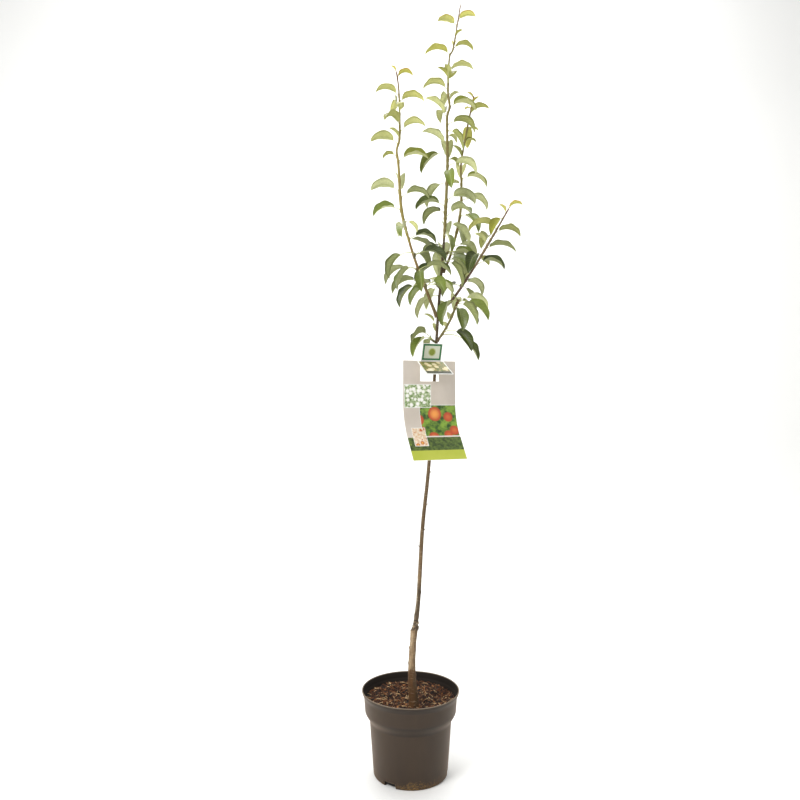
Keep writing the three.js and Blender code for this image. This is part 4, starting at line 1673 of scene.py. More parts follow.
@dataclass
class Wood:
    """The trunk and the boughs, with the relief of their bark.

    A scar is its height, its side and its size. A knot, a groove or the callus of the graft is its height,
    its width and how far it stands out. A grain says how fast a noise changes along each axis.
    """

    shape: TrunkShape
    growth: Growth
    trunk_sides: int = 36
    bough_sides: int = 18
    fine_step: float = 1.3
    coarse_step: float = 5.0
    bough_step: float = 3.0
    fine_until: float = 350
    sunk: float = 3.0
    collar: float = 0.5
    collar_fade: float = 6.0
    scars: tuple[Point, ...] = (
        (264.6, -1, 1.6), (234, -1, 1.1), (210, 1, 1.2), (372, 1, 1.0), (405, -1, 0.9),
    )
    graft: Point = (280, 345)
    knots: tuple[Point, ...] = ((303.5, 4.5, 2.3), (313, 2, 1.5))
    grooves: tuple[Point, ...] = ((308.8, 1.3, -1.0), (318.6, 1.4, -0.7))
    callus: Point = (306, 9, 1.5)
    ridge_grain: Point = (0.35, 0.35, 0.045)
    ring_grain: Point = (0.2, 0.2, 0.9)
    lump_grain: Point = (0.42, 0.42, 0.3)
    roughness: float = 0.03
    foot_roughness: float = 0.045
    foot_end: Point = (300, 340)
    scar_reach: float = 2.2
    scar_power: int = 6
    ledge: float = 0.7
    undercut: float = 2.3
    ledge_edge: Point = (299.5, 302)
    ledge_end: Point = (312, 332)
    half_width: float = 8
    overlap: float = 0.8
    top_overlap: float = 1.5
    side_gain: float = 0.8
    mark_reach: Point = (2.0, 3.0)
    mark_gain: float = 1.3
    mark_most: float = 0.9
    hue_start: float = 0.35
    hue_length: float = 60

    def _relief(self, centre: Array, spoke: Array, radius: float) -> float:
        """Returns how far the bark stands out at a point.

        It has long ridges and small rings everywhere, scars along the stem, and a ledge, knots, grooves and
        lumps at the graft.

        Args:
            centre: The centre line's point.
            spoke: The direction out of it.
            radius: The radius there.

        Returns:
            The distance.
        """
        point = centre + spoke * radius
        z = point[2]
        ridges, rings = (noise.noise(Vector(point * grain)) for grain in (self.ridge_grain, self.ring_grain))
        low = 1 - blend(*self.foot_end, z)
        rough = radius * (self.roughness + self.foot_roughness * low) * (ridges + 0.5 * rings)
        if not self.graft[0] < z < self.graft[1]:
            return rough + sum(
                size * hill(z, at, self.scar_reach) * max(0.0, side * spoke[0]) ** self.scar_power
                for at, side, size in self.scars)
        left, right = max(0.0, -spoke[0]), max(0.0, spoke[0])
        ledge = self.ledge - self.undercut * blend(*self.ledge_edge, z)
        ledge = ledge * left * (1 - blend(*self.ledge_end, z))
        knots, grooves = (sum(size * hill(z, at, width) for at, width, size in hills)
                          for hills in (self.knots, self.grooves))
        at, width, size = self.callus
        lumps = size * hill(z, at, width) * noise.noise(Vector(point * self.lump_grain))
        return rough + ledge + right * knots + grooves + lumps

    def build_trunk(self, bark: Material) -> None:
        """Builds the trunk with its graft.

        Args:
            bark: The bark's material.
        """
        route = self.growth.routes["trunk"]
        ground = self.shape.ground
        heights = (ground - self.sunk, self.fine_until, self.shape.top)
        foot, change, top = (route.length_at_height(height) for height in heights)
        lengths = even_lengths(foot, change, self.fine_step)
        lengths += even_lengths(change, top + self.top_overlap, self.coarse_step)[1:]
        centres = np.array([route.at(length) for length in lengths])
        draft = MeshDraft("trunk_bark")
        radii = [self.shape.radius_at(max(height, ground)) for height in centres[:, 2]]
        add_tube(draft, centres, radii, self.trunk_sides, relief=self._relief)
        points = np.concatenate(draft.vertices)
        height = points[:, 2]
        aside, beyond = (points[:, axis] - np.interp(height, centres[:, 2], centres[:, axis])
                         for axis in (0, 1))
        aside /= self.half_width
        # From 0 at the trunk's left to 1 at its right; the bark paints light on the left and shade on the
        # right by it.
        draft.attributes["aside"] = np.clip(0.5 + aside * self.side_gain, 0, 1)
        high, deep = self.mark_reach
        marks = [hill(height, at, high) * hill(beyond, 0, deep) * np.clip(side * aside, 0, 1)
                 for at, side, _ in self.scars]
        draft.attributes["scar"] = np.clip(np.sum(marks, axis=0) * self.mark_gain, 0, self.mark_most)
        place(draft.build([bark]), ["trunk"], "trunk")

    def build_boughs(self, bark: Material) -> None:
        """Builds each bough, with a collar where it leaves the trunk.

        Args:
            bark: The bark's material.
        """
        for plan in BOUGHS:
            lengths = np.array(even_lengths(0, plan.end + self.overlap, self.bough_step))
            collar = 1 + self.collar * np.exp(-lengths / self.collar_fade)
            radii = between(lengths, 0, plan.end, plan.foot, plan.tip) * collar
            share = np.clip(self.hue_start + lengths / max(plan.end, self.hue_length), 0, 1)
            hue = HUES[plan.name]
            draft = MeshDraft(plan.name + "_bark")
            centres = [self.growth.routes[plan.name].at(length) for length in lengths]
            add_tube(draft, centres, radii, self.bough_sides, relief=self._relief, gold=share * hue.gold,
                     red=share * hue.red, aside=0.5)
            place(draft.build([bark]), [plan.name], plan.name)


@dataclass
class Foliage:
    """The twigs, their buds, and the leaves of every mass.

    A leaf's age shows between two shares of its shoot's length: as fresh colour, and as red near the tip.
    """

    growth: Growth
    rows: int = 49
    columns: int = 7
    tooth: float = 0.03
    thickness: float = 0.45
    wave: float = 0.07
    stalk_radius: float = 0.75
    twig_sides: int = 10
    twig_step: float = 3.0
    spur_step: float = 1.2
    swelling: float = 0.45
    node_reach: float = 3.2
    node_swelling: float = 0.28
    node_kink: float = 0.35
    tip_taper: float = 0.55
    overlap: float = 0.8
    swelling_fade: float = 60
    stalk_sides: int = 6
    young_stalk: float = 0.7
    bud_rise: float = 2.4
    bud_lean: float = 0.45
    bud_out: float = 0.85
    trunk_bud_rise: float = 1.1
    trunk_bud_size: float = 1.15
    tip_bud_size: float = 0.9
    tip_bud_sunk: float = 0.4
    bud_size: Point = (0.5, 0.28)
    bud_seed: int = 5
    look_seed: int = 1000
    fewest_waves: float = 1.6
    more_waves: float = 1.4
    tone_spread: float = 0.7
    fresh_between: Point = (0.18, 1.05)
    least_fresh: float = 0.45
    newest_between: Point = (0.86, 0.96)
    flush_between: Point = (0.86, 0.97)
    flush_most: float = 0.9
    least_half: float = 0.12
    fold_power: float = 1.25
    midrib_drop: float = 0.6
    midrib_size: float = 0.85
    midrib_taper: float = 0.85
    stalk_foot: float = 1.35
    stalk_taper: float = 0.5

    def build_twig(self, plan: MassPlan, twig: Material) -> None:
        """Builds a stem that swells and kinks a little at each leaf.

        Args:
            plan: The mass.
            twig: The young wood's material.
        """
        stem = self.growth.stems[plan.name]
        on_route = bool(plan.route)
        begin = stem.start - (FIT_GAP + self.overlap) if on_route else 1.0
        lengths = even_lengths(begin, stem.end, self.twig_step if on_route else self.spur_step)
        roots = [(spine[0].point, unit(spine[2].point - spine[0].point))
                 for _, spine in self.growth.leaves[plan.name]]
        centres, radii = [], []
        for length in lengths:
            centre = stem.route.at(length)
            radius = stem.radius_at(max(length, stem.start))
            radius *= 1 + self.swelling * blend(0, self.swelling_fade, length - stem.start) * on_route
            near = [hill(np.linalg.norm(centre - root), 0, self.node_reach) for root, _ in roots]
            pulls = (out * pull * self.node_kink for (_, out), pull in zip(roots, near))
            centres.append(centre + sum(pulls, np.zeros(3)))
            radii.append(radius * (1 + self.node_swelling * min(1.0, sum(near))))
        if on_route:
            radii[-1] *= self.tip_taper
        hue = HUES.get(plan.name, Hue())
        draft = MeshDraft(plan.name + "_twig")
        along = np.linspace(0.0, float(on_route), len(lengths))
        add_tube(draft, centres, radii, self.twig_sides, along=along, gold=hue.gold, red=hue.red)
        place(draft.build([twig]), [plan.name], plan.name)

    def build_leaves(self, plan: MassPlan, materials: Sequence[Material]) -> None:
        """Builds the leaves and stalks of one mass.

        Args:
            plan: The mass.
            materials: The upper face, the under face and the stalk.
        """
        draft = MeshDraft(plan.name + "_leaves")
        random = SeededRandom(plan.seed + self.look_seed)
        light = HUES.get(plan.name, Hue()).light
        for grown in self.growth.leaves[plan.name]:
            leaf = grown.leaf
            phase = random.next() * FULL_TURN
            waves = self.fewest_waves + random.next() * self.more_waves
            tone = min(1.0, max(0.0, 0.5 + light + random.vary(self.tone_spread)))
            youth = max(blend(*self.fresh_between, leaf.share), self.least_fresh if leaf.young else 0.0)
            youth = max(youth * (0.5 + 0.5 * random.next()), blend(*self.newest_between, leaf.share))
            flush = blend(*self.flush_between, leaf.share) * self.flush_most
            self._add_blade(draft, grown, phase, waves, youth=youth, tone=tone, flush=flush, along=1.0)
            self._add_stalk(draft, grown, youth=youth, tone=tone)
        place(draft.build(materials), [plan.name], plan.name)

    def _add_blade(self, draft: MeshDraft, grown: GrownLeaf, phase: float, waves: float,
                   **attributes: float) -> None:
        """Adds a thin closed blade with a soft fold and waved, toothed margins.

        Args:
            draft: The piece.
            grown: The leaf.
            phase: Where its margins' waves start.
            waves: How many there are.
            attributes: Named values of its points.
        """
        leaf, rule = grown.leaf, self.growth.rule
        blade = grown.spine[rule.stalk_steps:]
        fold = math.radians(leaf.fold)
        rows, columns = self.rows, self.columns
        places, shares = np.linspace(-1, 1, columns), np.linspace(0, 1, rows)
        stations = np.linspace(0, 1, len(blade))
        centre, across, above = (
            np.stack([np.interp(shares, stations, part) for part in np.array(values).T], axis=1)[:, None]
            for values in zip(*((s.point, s.across, s.above) for s in blade))
        )
        half = 0.5 * rule.width_share * leaf.length * rule.blade_width(shares)
        half = np.maximum(half, self.least_half)[:, None]
        out = half * places
        out[1::2, (0, -1)] *= 1 + self.tooth
        rim = np.sin(waves * math.tau * shares + phase)[:, None]
        folded = math.sin(fold) * np.abs(places) ** self.fold_power
        lift = half * (folded + self.wave * rim * places * np.abs(places))
        middle = centre + across * (math.cos(fold) * out)[..., None] + above * lift[..., None]
        sheets = [(middle + above * (self.thickness / 2 * side)).reshape(-1, 3) for side in (1, -1)]
        flat = np.stack(np.broadcast_arrays(places, shares[:, None]), axis=-1).reshape(-1, 2)
        size = rows * columns
        top = [face[::-1] for face in grid_faces(rows, columns, False)]
        under = [tuple(index + size for index in face) for face in grid_faces(rows, columns, False)]
        grid = np.arange(size).reshape(rows, columns)
        edge = np.concatenate([grid[:, 0], grid[-1, 1:], grid[-2::-1, -1], grid[0, -2:0:-1]]).tolist()
        margin = [(a, b, b + size, a + size) for a, b in zip(edge, edge[1:] + edge[:1])]
        slots = [0] * len(top) + [1] * (len(under) + len(margin))
        faces = top + under + margin
        draft.add(np.concatenate(sheets), faces, slots, np.concatenate([flat, flat]), **attributes)

    def _add_stalk(self, draft: MeshDraft, grown: GrownLeaf, **attributes: float) -> None:
        """Adds the stalk, which runs on under the blade as its midrib.

        Args:
            draft: The piece.
            grown: The leaf.
            attributes: Named values of its points.
        """
        rule = self.growth.rule
        line = grown.spine[:rule.stalk_steps + rule.blade_steps - 3]
        steps = np.arange(len(line))
        before = steps < rule.stalk_steps
        on_blade = (steps - rule.stalk_steps) / (len(line) - rule.stalk_steps)
        drops = np.where(before, 0, self.thickness * self.midrib_drop)
        centres = [station.point - station.above * drop for station, drop in zip(line, drops)]
        stalk = self.stalk_foot - self.stalk_taper * steps / rule.stalk_steps
        shares = np.where(before, stalk, self.midrib_size * (1 - self.midrib_taper * on_blade))
        radii = shares * self.stalk_radius * (self.young_stalk if grown.leaf.young else 1.0)
        along = np.minimum(1.0, steps / rule.stalk_steps)
        add_tube(draft, centres, radii, self.stalk_sides, slot=2, along=along, **attributes)

    def build_buds(self, material: Material, extra: Sequence[tuple[Array, Array]]) -> None:
        """Sets a bud above the root of each leaf on a shoot, at each shoot's tip and at the places given.

        Args:
            material: The buds' material.
            extra: Points on the trunk, with the direction out of it.
        """
        buds = []
        for plan in SHOOTS:
            stem = self.growth.stems[plan.name]
            for grown in self.growth.leaves[plan.name]:
                root = grown.spine[0].point
                out = unit((grown.spine[2].point - root) * (1, 1, 0))
                length = stem.route.lengths[np.argmin(np.linalg.norm(stem.route.samples - root, axis=1))]
                radius, upward = stem.radius_at(length), stem.route.direction(length)
                above = root + out * radius * self.bud_out + upward * self.bud_rise
                least, more = self.bud_size
                buds.append((above, unit(upward + out * self.bud_lean), least + more * radius))
            tip = stem.route.at(stem.end - self.tip_bud_sunk)
            buds.append((tip, stem.route.direction(stem.end), self.tip_bud_size))
        buds += [(point, unit(out + UP * self.trunk_bud_rise), self.trunk_bud_size) for point, out in extra]
        points, headings, sizes = (np.array(part) for part in zip(*buds))
        mesh = bpy.data.meshes.new("bud_places")
        mesh.from_pydata((points * MM).tolist(), [], [])
        mesh.attributes.new("heading", "FLOAT_VECTOR", "POINT").data.foreach_set("vector", headings.ravel())
        mesh.attributes.new("size", "FLOAT", "POINT").data.foreach_set("value", sizes)
        base = add_object("bud_places", mesh)
        place(pointed_buds().apply(base, "buds", self.bud_seed, material), [], "leader_shoot")


@dataclass
class NurseryPot:
    """The round plastic pot with its collar, rim and drain slots.

    A step is how far the wall stands out and the two heights between which it does.
    """

    segments: int = 128
    height: float = 171
    wall: float = 1.8
    floor: float = 2.5
    foot: float = 76
    slant: float = 0.073
    collar: tuple[float, float, float] = (8.2, 108, 130)
    rim_flare: tuple[float, float, float] = (3.4, 156, 169)
    foot_round: float = 2.6
    rim_round: float = 0.9
    slot_size: tuple[float, float, float] = (16, 28, 20)
    slot_reach: float = 74
    slot_taper: float = 0.9
    slot_turns: tuple[float, ...] = (-123.5, -3.5, 116.5)
    wall_shift: float = 0.6
    levels: Point = (12, 24, 48, 76, 104, *range(108, 133, 2), 140, 148, *range(154, 168, 2))
    lowest_inside: float = 5
    lip: float = 2
    lip_edge: float = 0.2
    corner: Point = (0.6, 0.8, 2)

    def radius_at(self, level: float) -> float:
        """Returns the outside's radius at a height."""
        steps = sum(step * blend(low, high, level) for step, low, high in (self.collar, self.rim_flare))
        return self.foot + self.slant * level + steps

    def inside_radius(self, level: float) -> float:
        """Returns the inside's radius at a height, as far up as the rim's flare."""
        return self.radius_at(level - self.wall * self.wall_shift) - self.wall

    def _profile(self) -> tuple[list[tuple[float, float]], list[tuple[float, float]]]:
        """Returns the wall's outline, radius and height: up the outside, and back down the inside.

        Returns:
            The outside's points and the inside's.
        """
        low, high = self.foot_round, self.rim_round
        quarter = np.linspace(0, math.pi / 2, 5)
        foot = [(self.foot - low + low * math.sin(turn), low - low * math.cos(turn)) for turn in quarter]
        wall = [(self.radius_at(level), level) for level in self.levels]
        top, edge = self.height - high, self.radius_at(self.height)
        rim = [(edge - high + high * math.cos(turn), top + high * math.sin(turn)) for turn in quarter]
        lip = (edge - self.wall, self.height - self.lip_edge)
        outside = [*foot, *wall, (edge, self.height - self.lip), *rim, lip]
        levels = (self.lowest_inside, *self.levels[1:-7])
        inside = [(self.inside_radius(level), level) for level in reversed(levels)]
        radius = inside[-1][0]
        aside, above, away = self.corner
        return outside, [*inside, (radius - aside, self.floor + above), (radius - away, self.floor)]

    def build(self, outside: Material, inside: Material) -> None:
        """Builds the pot and cuts its slots.

        Args:
            outside: The material of its outside and its rim.
            inside: The material of its inside.
        """
        wall_outside, wall_inside = self._profile()
        body = ring_points(wall_outside + wall_inside, self.segments)
        faces = grid_faces(len(body) // self.segments, self.segments, True)
        faces += [face[::-1] for face in fan_faces(0, self.segments, len(body))]
        faces += fan_faces(len(body) - self.segments, self.segments, len(body) + 1)
        lip = (len(wall_outside) - 1) * self.segments
        draft = MeshDraft("pot_wall")
        slots = [int(min(face) >= lip) for face in faces]
        draft.add(np.array(body + [(0, 0, 0), (0, 0, self.floor)]), faces, slots)
        pot = draft.build([outside, inside])
        for turn in self.slot_turns:
            self._cut(pot, math.radians(turn))
        place(pot, ["pot"], "pot")

    def _cut(self, pot: Piece, angle: float) -> None:
        """Cuts one drain slot at the foot.

        Args:
            pot: The pot.
            angle: The slot's place round the pot, in radians.
        """
        depth, width, high = (size / 2 for size in self.slot_size)
        signs = np.array([(a, b, c) for a in (-1, 1) for b in (-1, 1) for c in (-1, 1)], float)
        corners = signs * (depth, width, high) + (self.slot_reach, 0, 0)
        corners[1::2, 1] *= self.slot_taper
        turned = np.array([aim(angle, 0), aim(angle + math.pi / 2, 0), UP])
        cutter = MeshDraft("slot_cutter")
        faces = [(0, 1, 3, 2), (4, 6, 7, 5), (0, 4, 5, 1), (2, 3, 7, 6), (0, 2, 6, 4), (1, 5, 7, 3)]
        cutter.add(corners @ turned, faces)
        tool = cutter.build([pot.data.materials[0]], smooth=False)
        modifier = pot.modifiers.new("slot", "BOOLEAN")
        modifier.operation = "DIFFERENCE"
        modifier.solver = "EXACT"
        modifier.object = tool
        mesh = evaluated_mesh(pot)
        pot.modifiers.remove(modifier)
        pot.data = mesh
        bpy.data.objects.remove(tool)


@dataclass
class Compost:
    """The filling: a lumpy bed with bark chips and fibres on it.

    A hollow is its place, width and depth. A noise is its grain, its layer and its share of the lumps.
    """

    pot: NurseryPot
    segments: int = 120
    rows: int = 40
    level: float = 147.0
    gap: float = 0.4
    side_gap: float = 0.7
    lump: float = 4.5
    heap: float = 4.0
    hollows: tuple[Point, ...] = (
        (-14, 30, 8, 16), (26, -4, 7, 8), (-48, 10, 12, 5), (50, 24, 12, 5), (-30, -52, 10, 4),
    )
    side_levels: Point = (5, 50, 100, 108, 114, 120, 126, 132, 140)
    scatter_share: float = 0.985
    noises: tuple[Point, ...] = ((0.05, 3.1, 0.6), (0.22, 8.7, 0.5))
    heap_start: Point = (45, 92)
    heap_turn: float = 0.3

    def _height(self, x: float, y: float) -> float:
        """Returns the surface's height at a place: lumps, hollows, and a heap against the wall behind.

        Args:
            x: The place to the right.
            y: The place behind.

        Returns:
            The height.
        """
        lumps = sum(share * noise.noise(Vector((x * grain, y * grain, layer)))
                    for grain, layer, share in self.noises)
        sink = sum(depth * math.exp(-((math.hypot(x - at_x, y - at_y) / width) ** 2))
                   for at_x, at_y, width, depth in self.hollows)
        radius = math.hypot(x, y)
        behind = (y - self.heap_turn * x) / max(radius, 1)
        heap = self.heap * blend(*self.heap_start, radius) * (0.5 + 0.5 * behind)
        return self.level + self.lump * lumps - sink + heap

    def _surface(self) -> tuple[Array, Faces]:
        """Returns the points and faces of the top, ring after ring from the edge inwards.

        Returns:
            The points and the faces.
        """
        edge = self.pot.inside_radius(self.level) - self.gap
        spots = ring_points([(edge * (1 - row / self.rows), 0.0) for row in range(self.rows)], self.segments)
        points = [(x, y, self._height(x, y)) for x, y, _ in [*spots, (0.0, 0.0, 0.0)]]
        faces = grid_faces(self.rows, self.segments, True)
        faces += fan_faces(len(spots) - self.segments, self.segments, len(spots))
        return np.array(points), faces

    def build(self, bed: Material, chips: Material, fibres: Material) -> None:
        """Builds the bed and scatters what lies on it.

        Args:
            bed: The bed's material.
            chips: The bark chips' material.
            fibres: The fibres' material.
        """
        points, faces = self._surface()
        profile = [(self.pot.inside_radius(level) - self.side_gap, level) for level in self.side_levels]
        side = ring_points(profile, self.segments)
        walls = grid_faces(len(self.side_levels), self.segments, True)
        walls.append(tuple(reversed(range(self.segments))))
        walls = [tuple(index + len(points) for index in face) for face in walls]
        top_row = len(points) + len(side) - self.segments
        walls += [(top_row + c, top_row + after, after, c) for c, after in neighbours(self.segments)]
        draft = MeshDraft("compost_bed")
        draft.add(np.concatenate([points, side]), faces + walls)
        place(draft.build([bed]), ["soil"], "soil")
        for name, scatter, seed, material in (
            ("bark_crumbs", bark_chips(100000, 0.0048), 11, chips),
            ("bark_chips", bark_chips(13000, 0.0110), 17, chips),
            ("coir_fibres", coir_fibres(50000, 0.0155), 23, fibres),
        ):
            surface = MeshDraft("surface")
            surface.add(points * (self.scatter_share, self.scatter_share, 1), faces)
            piece = scatter.apply(surface.build([material]), name, seed, material)
            self._keep_inside(piece.data)
            place(piece, [], "soil")

    def _keep_inside(self, mesh: bpy.types.Mesh) -> None:
        """Pushes what would reach through the pot's wall back inside it.

        Args:
            mesh: The mesh, in metres.
        """
        spots = np.empty(len(mesh.vertices) * 3)
        mesh.vertices.foreach_get("co", spots)
        spots = spots.reshape(-1, 3)
        radius = np.linalg.norm(spots[:, :2], axis=1)
        limit = np.array([self.pot.inside_radius(height / MM) - self.gap for height in spots[:, 2]]) * MM
        spots[:, :2] *= np.minimum(1, limit / np.maximum(radius, MM))[:, None]
        mesh.vertices.foreach_set("co", spots.ravel())


class Print(Enum):
    """The printed places of the label, each with its own finish."""

    CARD = 0
    BLOSSOM = 1
    FRUIT = 2
    HARVEST = 3
    BAND = 4
    FOOTER = 5
    BACK = 6
    BORDER = 7
    FRAME = 8
    BADGE = 9
    ORCHARD = 10
    SHADOW = 11


@dataclass(frozen=True)
class Picture:
    """A picture, by its edges across from the middle and down from the top. Without a print it is a hole."""

    left: float
    right: float
    top: float
    bottom: float
    print_name: Print | None
    border: float = 1

    def inset(self, across: float, down: float) -> float:
        """Returns how far inside the picture's edges a place lies."""
        return min(across - self.left, self.right - across, down - self.top, self.bottom - down)


def printed(pictures: Iterable[Picture], across: float, down: float) -> Print | None:
    """Returns the print of the uppermost picture at a place, its border's, or none in a hole."""
    picture = next(picture for picture in pictures if picture.inset(across, down) >= 0)
    return Print.BORDER if picture.inset(across, down) < picture.border else picture.print_name


@dataclass
class HangLabel:
    """The hang label: a curled card with a window, a square header and a flap folded out of the window.

    The header's place is its distance aside and its lean, and the flap's its distance aside, its distance
    under the card's top and its dip in degrees. The strap's sizes are its two heights and its thickness.
    """

    trunk: TrunkShape
    width: float = 118
    height: float = 212
    thickness: float = 1
    yaw: float = 23
    offset: float = -18
    top: float = 846
    behind: float = 0.6
    curl_start: float = 78
    curl_angle: float = 34
    curl_quickness: float = 1.6
    cell: int = 9
    pictures: tuple[Picture, ...] = (
        Picture(-21, 21, 4, 42, None, 0),
        Picture(-47, -17, 138, 180, Print.HARVEST),
        Picture(-57, 3, 48, 96, Print.BLOSSOM),
        Picture(-24, 59, 90, 158, Print.FRUIT),
        Picture(-59, 59, 160, 190, Print.BAND, 0),
        Picture(-59, 59, 190, 212, Print.FOOTER, 0),
        Picture(-59, 59, 0, 212, Print.CARD, 0),
    )
    header: tuple[Picture, ...] = (
        Picture(-17.3, 17.3, 5.2, 30.8, Print.BADGE, 0),
        Picture(-22.5, 22.5, 0, 36, Print.FRAME, 1.5),
    )
    header_place: Point = (3, 5)
    flap: tuple[Picture, ...] = (
        Picture(-27.6, 27.6, 42.12, 51.6, Print.SHADOW, 0),
        Picture(-30, 30, 0, 54, Print.ORCHARD, 2.4),
    )
    flap_place: Point = (1.5, 1.5, 31)
    strap: Point = (865, 879, 1.4)
    strap_sides: int = 48
    strap_bevel: Point = (0.8, 0.3)

    def __post_init__(self) -> None:
        """Finds the label's own directions and where its back touches the strap."""
        yaw = math.radians(self.yaw)
        self.out = np.array([math.sin(yaw), -math.cos(yaw), 0.0])
        self.wide = np.array([math.cos(yaw), math.sin(yaw), 0.0])
        route = Route(MAIN_ROUTE)
        low, high, thick = self.strap
        length = route.length_at_height((low + high) / 2)
        self.centre = route.at(length)
        self.tangent = route.direction(length)
        self.inner = self.trunk.radius_at(self.centre[2]) + FIT_GAP
        self.origin = self.centre + self.out * (self.inner + thick + FIT_GAP + self.behind)

    def _spot(self, aside: float, level: float) -> Array:
        """Returns a point of the card's plane, aside from its middle line, at a height."""
        return np.array([self.origin[0], self.origin[1], level]) + self.wide * (self.offset + aside)

    def line(self, steps: int) -> list[tuple[Array, Array]]:
        """Returns the card's line from its top edge down, as points and normals.

        Args:
            steps: The number of steps down the card.

        Returns:
            A point and a normal for each step.
        """
        point = self._spot(0, self.top)
        line = []
        step = self.height / steps
        for i in range(steps + 1):
            curled = max(0.0, (i * step - self.curl_start) / (self.height - self.curl_start))
            angle = math.radians(self.curl_angle) * min(1.0, curled * self.curl_quickness)
            line.append((point, self.out * math.cos(angle) + UP * math.sin(angle)))
            point = point + (self.out * math.sin(angle) - UP * math.cos(angle)) * step
        return line

    def clear_points(self) -> list[Array]:
        """Returns points over the card, for leaves to keep clear of."""
        shares = (-0.5, -0.25, 0, 0.25, 0.5)
        return [point + self.wide * (share * self.width) for point, _ in self.line(10) for share in shares]

    def _add_sheet(self, draft: MeshDraft, pictures: Sequence[Picture],
                   spot_at: Callable[[float], tuple[Array, Array]],
                   edges: Iterable[float] = (), levels: Iterable[float] = ()) -> None:
        """Adds a thin closed card over a grid of cells.

        Args:
            draft: The piece.
            pictures: What is printed on it, the upper ones first.
            spot_at: Gives its middle line's point and normal at a distance down it.
            edges: Distances across it at which cells end, besides the pictures' edges.
            levels: Distances down it at which cells end, besides the pictures' edges.
        """
        insets = [(picture, inset) for picture in pictures for inset in (0, picture.border)]
        across = {round(at, 3) for p, inset in insets for at in (p.left + inset, p.right - inset)}
        down = {round(at, 3) for p, inset in insets for at in (p.top + inset, p.bottom - inset)}
        edges, levels = sorted(across.union(edges)), sorted(down.union(levels))
        line = [spot_at(level) for level in levels]
        rows, columns = len(levels), len(edges)
        sheets = [point + self.wide * edge + normal * depth
                  for depth in (0, self.thickness) for point, normal in line for edge in edges]
        flat = [(edge / 100, -level / 100) for level in levels for edge in edges]
        size = rows * columns
        middles = [[(low + high) / 2 for low, high in zip(ends, ends[1:])] for ends in (levels, edges)]
        cells = {(r, c): printed(pictures, aside, level)
                 for r, level in enumerate(middles[0]) for c, aside in enumerate(middles[1])}
        faces, slots = [], []
        for (r, c), found in cells.items():
            if found is None:
                continue
            a, e = r * columns + c, (r + 1) * columns + c
            b, d = a + 1, e + 1
            faces += [(e + size, d + size, b + size, a + size), (a, b, d, e)]
            slots += [found.value, Print.BACK.value]
            sides = (((r - 1, c), a, b), ((r, c + 1), b, d), ((r + 1, c), d, e), ((r, c - 1), e, a))
            for other, first, second in sides:
                if cells.get(other) is None:
                    faces.append((first, first + size, second + size, second))
                    slots.append(Print.BACK.value)
        draft.add(np.array(sheets), faces, slots, np.array(flat + flat))

    def build(self, materials: Sequence[Material], strap: Material) -> None:
        """Builds the card, the header, the flap and the strap.

        Args:
            materials: The materials, in the order of the prints.
            strap: The strap's material.
        """
        draft = MeshDraft("label_card")
        steps, half = int(self.height), int(self.width / 2)
        line = self.line(steps)
        cells = range(self.cell - half, half, self.cell)
        self._add_sheet(draft, self.pictures, lambda level: line[int(level)], cells, range(steps + 1))
        high = self.header[-1].bottom
        aside, lean = self.header_place
        self._add_sheet(draft, self.header, lambda level: (
            self._spot(aside + lean * (1 - level / high), self.top + high - level), self.out))
        aside, below, dip = self.flap_place
        angle = math.radians(dip)
        down = self.out * math.cos(angle) - UP * math.sin(angle)
        normal = self.out * math.sin(angle) + UP * math.cos(angle)
        start = self._spot(aside, self.top - below) + self.out * self.thickness
        self._add_sheet(draft, self.flap, lambda level: (start + down * level, normal))
        place(draft.build(materials, smooth=False), ["label"], "label")
        self._build_strap(strap)

    def _build_strap(self, material: Material) -> None:
        """Builds the band round the trunk that holds the label.

        Args:
            material: Its material.
        """
        low, high, thick = self.strap
        share, bevel = self.strap_bevel
        half, outer, slope = (high - low) / 2, self.inner + thick, self.inner + thick * share
        outline = [(self.inner, -half), (slope, -half), (outer, bevel - half),
                   (outer, half - bevel), (slope, half), (self.inner, half)]
        across = unit(np.cross(np.array([0.0, 1.0, 0.0]), self.tangent))
        turned = np.array([across, np.cross(self.tangent, across), self.tangent])
        faces = grid_faces(len(outline), self.strap_sides, True)
        last = (len(outline) - 1) * self.strap_sides
        faces += [(last + c, last + after, after, c) for c, after in neighbours(self.strap_sides)]
        draft = MeshDraft("label_band")
        draft.add(np.array(ring_points(outline, self.strap_sides)) @ turned + self.centre, faces)
        place(draft.build([material]), ["label_strap"], "label_strap")


